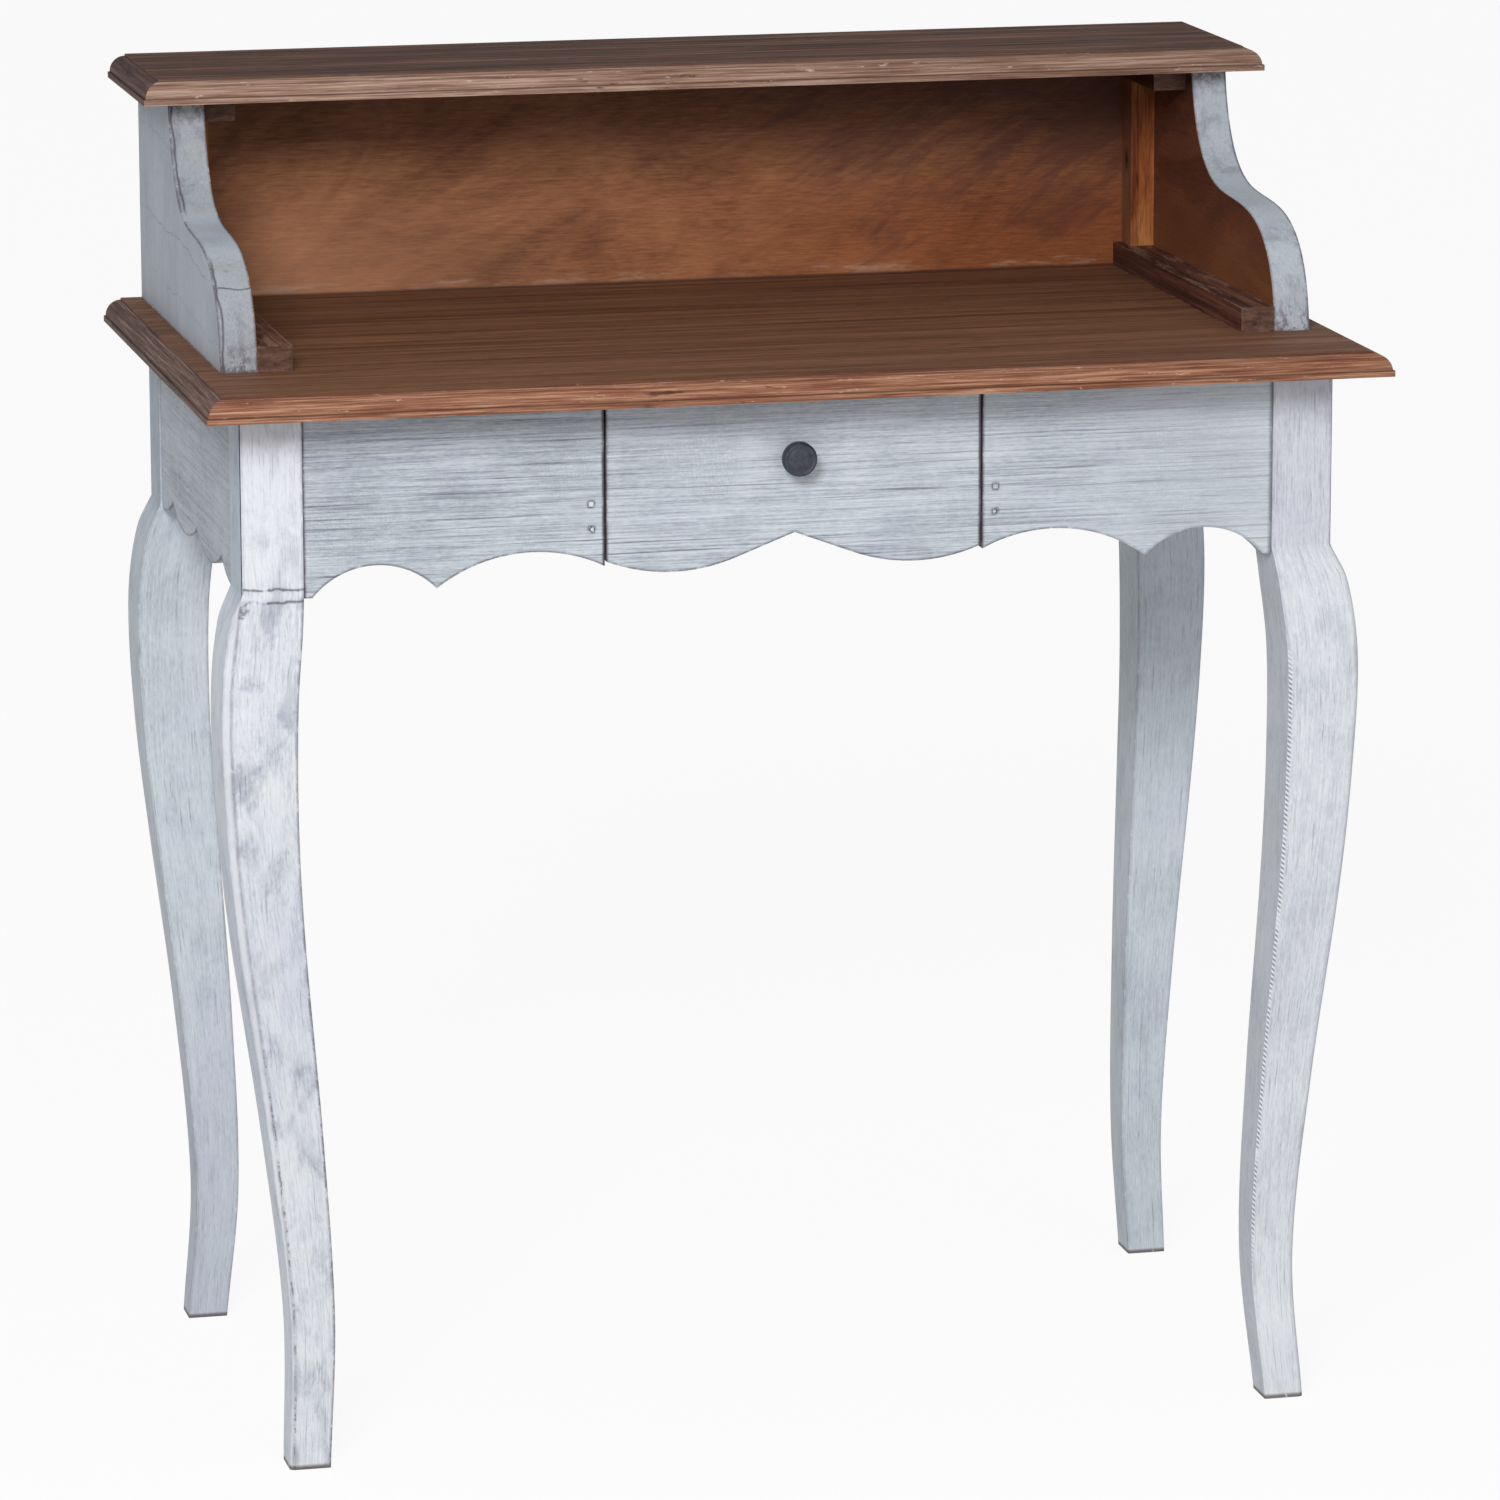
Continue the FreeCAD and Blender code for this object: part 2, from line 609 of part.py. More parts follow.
hutch_side = pair(
    "hutch_side", "YZ_Plane", f"-{HUTCH_OUTER}", "hutch_side",
    [(HUTCH_TOP, SHELF_UNDERSIDE),
     (HUTCH_FOOT, "surface_height"),
     (HUTCH_BACK, "surface_height"),
     (HUTCH_BACK, SHELF_UNDERSIDE)],
    poles={0: [(f"{HUTCH_TOP} - neck_step", f"{SHELF_UNDERSIDE} - neck_drop"),
               (f"{HUTCH_TOP} - hollow_step", "surface_height + hollow_height"),
               (f"{HUTCH_FOOT} + bulge_step", "surface_height + bulge_height"),
               (f"{HUTCH_FOOT} + belly_step", "surface_height + belly_height")]})
back_panel = board("hutch_back_panel", "XZ_Plane", PANEL_FRONT, "back_panel",
                   rectangle(f"-{HUTCH_INNER}", HUTCH_INNER, "surface_height", SHELF_UNDERSIDE))
base_cleat = pair("base_cleat", "XY_Plane", "surface_height", "cleat_height",
                  rectangle(f"-{HUTCH_INNER}", f"-{CLEAT_INNER}", HUTCH_FOOT, PANEL_FRONT))
corner_cleat = pair("corner_cleat", "XY_Plane", CORNER_BOTTOM, f"{CORNER_TOP} - {CORNER_BOTTOM}",
                    rectangle(f"-{HUTCH_INNER}", f"-{CORNER_INNER}", CORNER_FRONT, PANEL_FRONT))
shelf_cleat = pair("shelf_cleat", "XY_Plane", CORNER_TOP, "cleat_height",
                   rectangle(f"-{HUTCH_INNER}", f"-{CLEAT_INNER}", SHELF_CLEAT_FRONT, PANEL_FRONT))

top_batten = pair("top_batten", "XY_Plane", f"{UNDERSIDE} - batten", "batten",
                  rectangle(f"-{SIDE_INSIDE}", f"batten - {SIDE_INSIDE}",
                            f"{MIDDLE} - batten_length/2", f"{MIDDLE} + batten_length/2"))

# Fasteners


def two_spots(across, along, pitch):
    """Two spots side by side along the second axis."""
    return [(across, f"{along} - {pitch}/2"), (across, f"{along} + {pitch}/2")]


fasten("top_screws", "XY_Plane",
       both_sides(two_spots(f"batten/2 - {SIDE_INSIDE}", MIDDLE, "top_screw_pitch")),
       f"{UNDERSIDE} - batten", 1, "batten + screw_bite", top_batten, [desk_top])
fasten("hutch_nails", "XY_Plane",
       both_sides(two_spots(f"-{CLEAT_INNER} - cleat_width/2", MIDDLE, "hutch_nail_pitch")),
       UNDERSIDE, 1, "board + nail_bite", desk_top, [base_cleat], kind="nail")
fasten("shelf_nails", "XY_Plane",
       both_sides([(f"-{CLEAT_INNER} - cleat_width/2", f"({SHELF_CLEAT_FRONT}/2 + {CORNER_FRONT}/2)")]),
       CORNER_TOP, 1, "cleat_height + nail_bite", shelf_cleat, [upper_shelf], kind="nail")
corner_middle = f"({CORNER_BOTTOM}/2 + {CORNER_TOP}/2)"
fasten("back_panel_nails", "XZ_Plane",
       both_sides(two_spots(f"cleat_height/2 - {HUTCH_INNER}", corner_middle, "back_nail_pitch")),
       PANEL_BACK, -1, "back_panel + nail_bite", back_panel, [corner_cleat], kind="nail")
fasten("apron_nails", "XZ_Plane",
       both_sides(two_spots("-opening/2 - partition/2", f"({UNDERSIDE} - nail_drop - nail_pitch/2)",
                            "nail_pitch")),
       FRONT_FACE, 1, "apron + nail_bite", front_apron, [partition], kind="nail")
fasten("knob_screw", "XZ_Plane", [("0", KNOB_HEIGHT)], FRONT_INSIDE, -1, "apron + screw_bite",
       drawer_front, [])

left_screw = fasten("corner_cleat_screw_left", "YZ_Plane",
                    [(f"{CORNER_FRONT} + cleat_width/2", corner_middle)], f"-{CORNER_INNER}", -1,
                    "cleat_height + screw_bite", corner_cleat, [hutch_side])
right_screw = mirror("corner_cleat_screw_right", left_screw)
corner_screws = doc.addObject("Part::Compound", "corner_cleat_screws")
corner_screws.Label = "corner_cleat_screws"
corner_screws.Links = [nodes.pop("corner_cleat_screw_left"), nodes.pop("corner_cleat_screw_right")]
nodes["corner_cleat_screws"] = corner_screws

doc.recompute()
for label, node in nodes.items():
    if "Invalid" in node.State or "Error" in node.State:
        raise RuntimeError(f"{label} did not build: {node.State}")
    if node.Shape.isNull() or not node.Shape.isValid():
        raise RuntimeError(f"{label} has no valid shape")
    node.Shape.exportStep(f"parts/{label}.step")
    print(f"{label}: {len(node.Shape.Solids)} solid(s), {node.Shape.Volume / 1000:.1f} cm3")
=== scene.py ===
import math

import bmesh
import bpy
from mathutils import Matrix, Vector


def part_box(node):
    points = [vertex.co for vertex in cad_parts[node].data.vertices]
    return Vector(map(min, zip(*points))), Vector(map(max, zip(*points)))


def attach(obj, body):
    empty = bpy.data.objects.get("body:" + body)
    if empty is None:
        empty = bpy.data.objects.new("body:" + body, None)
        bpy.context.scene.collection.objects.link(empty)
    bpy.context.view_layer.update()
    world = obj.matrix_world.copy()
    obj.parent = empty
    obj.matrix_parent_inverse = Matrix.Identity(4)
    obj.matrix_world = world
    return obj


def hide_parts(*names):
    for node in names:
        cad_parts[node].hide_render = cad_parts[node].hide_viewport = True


# Looks for the bonheur du jour: whitewashed legs, aprons and hutch sides under red-brown boards.

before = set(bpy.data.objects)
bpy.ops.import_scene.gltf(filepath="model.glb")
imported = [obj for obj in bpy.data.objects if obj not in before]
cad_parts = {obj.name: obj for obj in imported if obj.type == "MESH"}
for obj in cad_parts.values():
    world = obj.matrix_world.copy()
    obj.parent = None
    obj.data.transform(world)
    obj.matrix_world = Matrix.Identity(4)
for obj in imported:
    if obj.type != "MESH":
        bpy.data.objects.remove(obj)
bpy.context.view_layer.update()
scene = bpy.context.scene
scene.view_settings.view_transform = "Standard"

MM = 0.001
X, Y, Z = range(3)

# Places taken from the parts of model.glb, in metres, with two sizes of the legs in millimetres

TOP_LOW, TOP_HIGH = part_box("desk_top")
SHELF_LOW, SHELF_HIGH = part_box("upper_shelf")
HUTCH_LOW, HUTCH_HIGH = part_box("hutch_side_right")
PANEL_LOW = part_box("hutch_back_panel")[0]
APRON_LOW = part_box("front_apron_right")[0]
DRAWER_LOW, DRAWER_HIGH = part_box("drawer_front")
KNOB_LOW, KNOB_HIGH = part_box("drawer_knob")
NAILS_LOW, NAILS_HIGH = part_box("apron_nails")
SCREWS_LOW, SCREWS_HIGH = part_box("corner_cleat_screws")
FRONT_LEG_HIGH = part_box("leg_front_right")[1]
BACK_LEG_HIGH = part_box("leg_back_right")[1]
DRAWER_SEAM = (DRAWER_HIGH[X] + APRON_LOW[X]) / 2
POST_WIDTH = 47
KNEE_REACH = 18
POST_HALF = POST_WIDTH / 2 * MM
POST_X = FRONT_LEG_HIGH[X] - KNEE_REACH * MM - POST_HALF
FRONT_POST_Y = FRONT_LEG_HIGH[Y] - POST_HALF
BACK_POST_Y = BACK_LEG_HIGH[Y] - KNEE_REACH * MM - POST_HALF
POST_SEAM = POST_X - POST_HALF


def tint(red, green, blue):
    """A colour given as it looks on a screen, 0 to 255, as linear light."""
    def linear(level):
        level /= 255
        return level / 12.92 if level <= 0.04045 else ((level + 0.055) / 1.055) ** 2.4
    return (linear(red), linear(green), linear(blue), 1)


class Shader:
    """A material, with its nodes added one value at a time. Noises are drawn at its place, which a look
    may shift or turn. Its seat stays the place on the desk."""

    def __init__(self, name):
        self.material = bpy.data.materials.new(name)
        self.material.use_nodes = True
        self.tree = self.material.node_tree
        self.surface = self.tree.nodes["Principled BSDF"]
        coordinates = self.add("ShaderNodeTexCoord").outputs
        self.place = self.seat = coordinates["Object"]
        self.unwrapped = coordinates["UV"]
        self.normal = self.add("ShaderNodeNewGeometry").outputs["Normal"]

    def add(self, kind, inputs=None, **settings):
        """A new node, with its inputs by name or number."""
        node = self.tree.nodes.new(kind)
        for name, setting in settings.items():
            setattr(node, name, setting)
        for name, value in (inputs or {}).items():
            self.feed(node.inputs[name], value)
        return node

    def feed(self, socket, value):
        """Links a value to a socket, or sets it there if it is a constant."""
        if isinstance(value, bpy.types.NodeSocket):
            self.tree.links.new(value, socket)
        else:
            socket.default_value = value

    def math(self, operation, *values):
        node = self.add("ShaderNodeMath", operation=operation)
        for socket, value in zip(node.inputs, values):
            self.feed(socket, value)
        return node.outputs[0]

    def times(self, first, *others):
        for other in others:
            first = self.math("MULTIPLY", first, other)
        return first

    def either(self, first, *others):
        """The highest of some values."""
        for other in others:
            first = self.math("MAXIMUM", first, other)
        return first

    def flip(self, value):
        return self.math("SUBTRACT", 1.0, value)

    def total(self, *parts):
        """The sum of values, each times its weight."""
        result = 0.0
        for value, weight in parts:
            result = self.math("MULTIPLY_ADD", value, weight, result)
        return result

    def axis(self, number, source=None):
        """One part of a vector, or of the seat."""
        node = self.add("ShaderNodeSeparateXYZ", {"Vector": source or self.seat})
        return node.outputs[number]

    def span(self, value, low, high, to_low=0.0, to_high=1.0):
        """Value between low and high, eased to lie between the two levels."""
        node = self.add("ShaderNodeMapRange", {"Value": value, "From Min": low, "From Max": high,
                                               "To Min": to_low, "To Max": to_high},
                        interpolation_type="SMOOTHSTEP")
        return node.outputs[0]

    def near(self, value, middle, reach):
        """1 at the middle, falling to 0 at the reach on both sides."""
        away = self.math("ABSOLUTE", self.math("SUBTRACT", value, middle))
        return self.span(away, 0.0, reach, 1.0, 0.0)

    def turned(self, degrees, axis):
        """The place, turned about an axis, so that what is drawn there slants."""
        node = self.add("ShaderNodeVectorRotate", {"Vector": self.place, "Angle": math.radians(degrees)},
                        rotation_type=axis)
        return node.outputs[0]

    def scaled(self, scale, shift=(0, 0, 0)):
        node = self.add("ShaderNodeVectorMath", {0: self.place, 1: scale, 2: shift}, operation="MULTIPLY_ADD")
        return node.outputs[0]

    def noise(self, scale, detail=2.0, rough=0.5, warp=0.0, shift=(0, 0, 0)):
        """Noise with so many cells to a metre, on each axis."""
        scale = scale if hasattr(scale, "__len__") else (scale,) * 3
        node = self.add("ShaderNodeTexNoise", {"Vector": self.scaled(scale, shift), "Scale": 1.0,
                                               "Detail": detail, "Roughness": rough, "Distortion": warp})
        return node.outputs[0]

    def ramp(self, value, tones, levels=(0.38, 0.5, 0.62)):
        """A colour that passes through the tones as the value passes their levels."""
        node = self.add("ShaderNodeValToRGB", {"Fac": value})
        marks = node.color_ramp.elements
        while len(marks) < len(tones):
            marks.new(0.5)
        for mark, level, colour in zip(marks, levels, tones):
            mark.position = level
            mark.color = colour
        return node.outputs[0]

    def mix(self, share, first, second, blend="MIX"):
        """A share of one colour over another. The numbers are the Mix node's colour sockets."""
        node = self.add("ShaderNodeMix", data_type="RGBA", blend_type=blend)
        self.feed(node.inputs[0], share)
        self.feed(node.inputs[6], first)
        self.feed(node.inputs[7], second)
        return node.outputs[2]

    def shade(self, share, colour, filter_colour):
        """A colour seen through a share of a filter."""
        return self.mix(share, colour, filter_colour, "MULTIPLY")

    def blend(self, share, first, second):
        """A share of one value over another. The numbers are the Mix node's float sockets."""
        node = self.add("ShaderNodeMix", data_type="FLOAT")
        self.feed(node.inputs[0], share)
        self.feed(node.inputs[2], first)
        self.feed(node.inputs[3], second)
        return node.outputs[0]

    def edges(self, radius, low, high):
        """1 along the edges of the piece, 0 on its faces."""
        rounded = self.add("ShaderNodeBevel", {"Radius": radius}, samples=4).outputs[0]
        along = self.add("ShaderNodeVectorMath", {0: rounded, 1: self.normal}, operation="DOT_PRODUCT")
        return self.span(self.flip(along.outputs["Value"]), low, high)

    def finish(self, colour, roughness, height, depth, **constants):
        """Wires the layers to the surface. Depth is the bump's full height in metres."""
        bump = self.add("ShaderNodeBump", {"Strength": 1.0, "Distance": depth, "Height": height})
        self.feed(self.surface.inputs["Base Color"], colour)
        self.feed(self.surface.inputs["Roughness"], roughness)
        self.feed(self.surface.inputs["Normal"], bump.outputs[0])
        for name, value in constants.items():
            self.surface.inputs[name.replace("_", " ")].default_value = value
        return self.material


# Layers of paint and of wood: colour, roughness and height


def stretched(along, slow, fast):
    """Cells to a metre, few along one axis and many across it."""
    return tuple(slow if number == along else fast for number in range(3))


def brushed_tone(s, along, stroke, streak):
    """Clouds, brush strokes and grit, as one value about 0.5."""
    cloud = s.noise(7.0, 4.0, 0.6, shift=(3, 1, 2))
    drag = s.noise(stretched(along, stroke / 3, 150.0), 4.0, 0.65, 0.1, shift=(4, 9, 6))
    brush = s.noise(stretched(along, stroke, 640.0), 4.0, 0.72, 0.1)
    grit = s.noise(stretched(along, 150.0, 700.0), 3.0, 0.65)
    parts = [(cloud, 0.22), (drag, 0.1 * streak), (brush, 0.67 * streak), (grit, 0.25)]
    # The rest of the weight goes to an even 0.5, which keeps the mean there
    rest = 1 - sum(weight for _, weight in parts)
    return s.total(*parts, (0.5, rest))


def tool_ripples(s, centre):
    """Rings about a centre, here and there, as a tool leaves them."""
    rings = s.add("ShaderNodeTexWave", {"Vector": s.scaled((1, 1, 1), centre), "Scale": 100.0,
                                        "Distortion": 9.0, "Detail": 2.0, "Detail Scale": 4.0},
                  wave_type="RINGS", rings_direction="SPHERICAL").outputs["Fac"]
    return s.times(rings, s.span(s.noise(13.0, 2.0, shift=(5, 5, 0)), 0.52, 0.66))


def paint_layers(s, along, pale, mid, dark, stroke=9.0, streak=1.0, smudge=0.3, wear=1.0, ripple=1.0,
                 centre=(0.8, 0.2, -0.68)):
    """Whitewash brushed along one axis. Stroke is the cells to a metre along the brush strokes, and
    streak says how strongly they show. Smudge, wear and ripple do so for the stains, the edges that are
    rubbed bare, and the ripples about a centre."""
    tone = brushed_tone(s, along, stroke, streak)
    colour = s.ramp(tone, (dark, mid, pale), (0.37, 0.5, 0.62))
    violet = s.span(s.noise(11.0, 3.0, 0.6, shift=(8, 8, 3)), 0.45, 0.65)
    colour = s.shade(s.times(violet, 0.4), colour, tint(248, 244, 255))
    scratch = s.noise(stretched(along, stroke * 0.8, 520.0), 4.0, 0.6, 0.1, shift=(2, 5, 8))
    scratch = s.span(scratch, 0.61, 0.69)
    colour = s.mix(s.times(scratch, 0.75 * streak), colour, tint(104, 104, 122))
    stain = s.span(s.noise(stretched(along, 18.0, 34.0), 5.0, 0.72, 0.25, shift=(9, 4, 1)), 0.47, 0.7)
    colour = s.shade(s.times(stain, smudge), colour, tint(188, 190, 201))
    ripples = s.times(tool_ripples(s, centre), ripple)
    colour = s.mix(s.times(ripples, 0.3), colour, dark)
    rub = s.span(s.noise(70.0, 5.0, 0.8), 0.36, 0.5)
    bare = s.times(s.edges(3.2 * MM, 0.001, 0.03), rub, wear)
    colour = s.mix(bare, colour, tint(78, 66, 78))
    roughness = s.span(tone, 0.36, 0.62, 0.75, 0.55)
    height = s.total((tone, 1.6), (ripples, -0.3), (scratch, -0.4), (stain, -0.3), (bare, -0.5))
    return colour, roughness, height


def wood_layers(s, along, tones, slow=2.2, fast=95.0, warp=0.3, fine=0.45, wear=0.5, worn=None):
    """Stained wood with its grain along one axis. Tones run from the dark of the grain to its pale, slow
    and fast are the figure's cells to a metre along and across it, fine is the share of thin lines, and
    worn is the colour of rubbed edges."""
    figure = s.noise(stretched(along, slow, fast), 6.0, 0.62, warp)
    lines = s.noise(stretched(along, 9.0, 430.0), 4.0, 0.7, shift=(6, 2, 3))
    tone = s.total((figure, 1 - fine), (lines, fine))
    colour = s.ramp(tone, tones)
    pores = s.span(s.noise(stretched(along, 40.0, 620.0), 2.0, 0.5), 0.58, 0.7)
    colour = s.shade(s.times(pores, 0.6), colour, tint(150, 130, 124))
    rub = s.span(s.noise(45.0, 4.0, 0.7, shift=(1, 8, 3)), 0.4, 0.62)
    bare = s.times(s.edges(1.8 * MM, 0.004, 0.12), rub, wear)
    colour = s.mix(bare, colour, worn or tones[2])
    roughness = s.span(lines, 0.3, 0.7, 0.7, 0.55)
    height = s.total((tone, 1.0), (pores, -0.5))
    return colour, roughness, height


# Colours of the paint and the woods, with the strengths that go with them

APRON_PAINT = {"pale": tint(217, 224, 230), "mid": tint(194, 202, 209), "dark": tint(148, 156, 168)}
SIDE_PAINT = {"pale": tint(206, 214, 221), "mid": tint(188, 196, 205), "dark": tint(152, 160, 172),
              "streak": 0.6}
HUTCH_PAINT = {"pale": tint(199, 206, 213), "mid": tint(182, 190, 198), "dark": tint(154, 162, 173),
               "streak": 0.3}
LEG_PAINT = {"pale": tint(240, 242, 245), "mid": tint(222, 226, 231), "dark": tint(186, 191, 201),
             "stroke": 22.0, "streak": 0.55, "ripple": 0.6}
TOP_WOOD = {"tones": [tint(88, 58, 40), tint(119, 81, 57), tint(144, 102, 75)],
            "front_tones": [tint(108, 60, 42), tint(151, 101, 78), tint(196, 151, 122)],
            "end_tones": [tint(70, 51, 48), tint(108, 84, 77), tint(156, 130, 118)],
            "painted_shade_right": tint(240, 236, 232), "painted_sheen_depth": 110 * MM}
SHELF_WOOD = {"tones": [tint(36, 18, 11), tint(82, 49, 35), tint(136, 94, 74)],
              "front_tones": [tint(118, 86, 70), tint(160, 127, 109), tint(198, 168, 150)],
              "end_tones": [tint(56, 37, 36), tint(86, 62, 57), tint(124, 98, 89)],
              "painted_shade_right": tint(226, 222, 220), "painted_sheen_depth": 30 * MM}
PANEL_TONES = [tint(106, 66, 46), tint(145, 94, 63), tint(174, 119, 82)]
ORANGE_TONES = [tint(106, 54, 26), tint(160, 88, 42)]
INSIDE_TONES = [tint(76, 38, 24), tint(94, 50, 30), tint(112, 65, 40)]
CLEAT_TONES = [tint(56, 32, 25), tint(90, 54, 43), tint(126, 86, 70)]
SAWN_TONES = [tint(58, 38, 30), tint(122, 92, 76)]
CORNER_TONES = [tint(112, 54, 26), tint(160, 92, 47), tint(188, 124, 72)]
BARE_TONES = [tint(150, 116, 82), tint(178, 142, 104), tint(196, 162, 124)]

# Full height of each surface's bump, and how much the woods shine
PAINT_DEPTH = 0.3 * MM
HUTCH_DEPTH = 0.25 * MM
WOOD_DEPTH = 0.15 * MM
BOARD_DEPTH = 0.2 * MM
METAL_DEPTH = 0.05 * MM
WOOD_SHINE = 0.25
BOARD_SHINE = 0.2

# Painted pieces


def front_look():
    """Aprons and drawer front, dark along their upright seams and calmer towards the right."""
    s = Shader("whitewash_front")
    colour, roughness, height = paint_layers(s, X, **APRON_PAINT)
    calm = s.span(s.axis(X), 100 * MM, 400 * MM, 0.0, 0.5)
    colour = s.mix(calm, colour, tint(213, 220, 227))
    across = s.math("ABSOLUTE", s.total((s.axis(X), 1.0), (s.noise((20.0, 20.0, 50.0)), 1.6 * MM)))
    in_front = s.math("LESS_THAN", s.axis(Y), 0.0)
    drawer_seam = s.times(s.near(across, DRAWER_SEAM, 3.0 * MM), in_front)
    more_on_left = s.span(s.axis(X), 200 * MM, -200 * MM, 0.5, 1.0)
    post_seam = s.times(s.near(across, POST_SEAM, 3.2 * MM), more_on_left)
    uneven = s.span(s.noise((90.0, 90.0, 60.0), 3.0, 0.7), 0.28, 0.5, 0.35, 1.0)
    seams = s.times(s.either(drawer_seam, post_seam), uneven)
    colour = s.mix(seams, colour, tint(62, 50, 62))
    return s.finish(colour, roughness, height, PAINT_DEPTH)


def side_look():
    s = Shader("whitewash_side")
    return s.finish(*paint_layers(s, Y, centre=(0.4, 0.7, -0.68), **SIDE_PAINT), PAINT_DEPTH)


def hutch_cracks(s, facing):
    """Cracks across the left hutch side, fainter on its outer face, and a dark line along its front."""
    across, along, up = (s.axis(number) for number in (X, Y, Z))
    left = s.math("LESS_THAN", across, 0.0)
    wander = s.total((along, -0.06), (up, 1.0), (s.noise(11.0, 4.0, 0.6), 30 * MM))

    def crack(rise, reach):
        return s.near(wander, HUTCH_LOW[Z] + rise, reach)

    behind = s.either(crack(39 * MM, 0.9 * MM), crack(148 * MM, 0.9 * MM))
    behind = s.times(behind, s.flip(facing), 0.3)
    through = s.times(crack(81 * MM, 1.1 * MM), s.span(facing, 0.0, 1.0, 0.4, 1.0))
    cracks = s.times(s.either(behind, through), s.span(s.noise(16.0, 2.0, shift=(7, 0, 7)), 0.4, 0.5))
    wobble = s.total((s.math("ABSOLUTE", across), 1.0), (s.noise(26.0, 3.0, 0.6, shift=(0, 3, 3)), 9 * MM))
    outline = s.near(wobble, HUTCH_HIGH[X] + 2 * MM, 1.6 * MM)
    outline = s.times(outline, facing, s.span(s.noise(24.0, 3.0), 0.34, 0.42))
    return s.times(s.either(cracks, outline), left)


def hutch_side_look():
    """Painted outside and on the front edge, brown wood inside, rubbed bare at the foot and the head."""
    s = Shader("whitewash_hutch")
    paint = paint_layers(s, Z, smudge=0.2, centre=(0.3, 0.6, -0.7), **HUTCH_PAINT)
    wood = wood_layers(s, Y, INSIDE_TONES, slow=7.0, fast=22.0, warp=1.0, fine=0.12)
    across, up = s.axis(X), s.axis(Z)
    facing = s.span(s.axis(Y, s.normal), -0.25, -0.5)
    more_on_left = s.span(across, 200 * MM, -200 * MM, 0.25, 1.0)
    colour = s.shade(s.times(facing, more_on_left), paint[0], tint(236, 233, 230))
    blotches = s.span(s.noise((34.0, 34.0, 24.0), 5.0, 0.7, 0.3, shift=(2, 6, 1)), 0.48, 0.64)
    colour = s.shade(s.times(blotches, facing, 0.6), colour, tint(196, 194, 205))
    foot = s.span(up, HUTCH_LOW[Z] + 34 * MM, HUTCH_LOW[Z])
    head = s.span(up, HUTCH_HIGH[Z] - 30 * MM, HUTCH_HIGH[Z])
    rubbed = s.span(s.noise((190.0, 190.0, 120.0), 5.0, 0.8), 0.46, 0.58)
    rubbed = s.times(rubbed, facing, s.either(foot, head))
    colour = s.mix(s.times(rubbed, 0.8), colour, tint(98, 78, 88))
    cracks = hutch_cracks(s, facing)
    colour = s.mix(s.times(cracks, 0.85), colour, tint(74, 70, 84))
    inside = s.span(s.math("ABSOLUTE", across), HUTCH_LOW[X] + 0.6 * MM, HUTCH_LOW[X] + 0.2 * MM)
    warm = s.span(up, HUTCH_LOW[Z] + 110 * MM, HUTCH_LOW[Z] + 10 * MM, 0.0, 0.5)
    colour = s.mix(inside, colour, s.mix(warm, wood[0], tint(142, 86, 46)))
    roughness, height = (s.blend(inside, paint[n], wood[n]) for n in (1, 2))
    return s.finish(colour, roughness, s.total((height, 1.0), (cracks, -0.8)), HUTCH_DEPTH)


def nail_look():
    """Nails filled and painted over with the front: pale spots on the left, hidden on the right, and the
    lower ones with a dark crescent of painted shade in their hollow."""
    s = Shader("filled_nail")
    half_head = 2 * MM
    colour, roughness, height = paint_layers(s, X, wear=0.0, **APRON_PAINT)
    across = s.math("SUBTRACT", s.math("ABSOLUTE", s.axis(X)), NAILS_HIGH[X] - half_head)
    rise = s.math("SUBTRACT", s.axis(Z), (NAILS_LOW[Z] + NAILS_HIGH[Z]) / 2)
    up = s.math("SUBTRACT", s.math("ABSOLUTE", rise), (NAILS_HIGH[Z] - NAILS_LOW[Z]) / 2 - half_head)

    def within(radius, aside):
        offset = s.add("ShaderNodeCombineXYZ", {"X": s.math("ADD", across, aside), "Y": up}).outputs[0]
        away = s.add("ShaderNodeVectorMath", {0: offset}, operation="LENGTH").outputs["Value"]
        return s.span(away, radius + 0.2 * MM, radius - 0.2 * MM)

    spot = within(1.8 * MM, 0.0)
    hollow = s.times(spot, s.flip(within(1.3 * MM, 0.7 * MM)), s.math("LESS_THAN", rise, 0.0))
    shown = s.span(s.axis(X), 100 * MM, -100 * MM, 0.15, 0.8)
    colour = s.mix(s.times(spot, shown), colour, tint(232, 234, 240))
    # A dark crescent of painted shade in the hollow of each lower nail
    colour = s.mix(s.times(hollow, 0.9), colour, tint(70, 62, 74))
    return s.finish(colour, roughness, s.total((height, 1.0), (spot, 1.0), (hollow, -2.0)), PAINT_DEPTH)


# Brown and plain wood

# Depth of the boards' moulding and height of its lip, and the lean of the panel's figure in degrees
NOSE = 13.6 * MM
LIP = 4.5 * MM
FIGURE_LEAN = 32


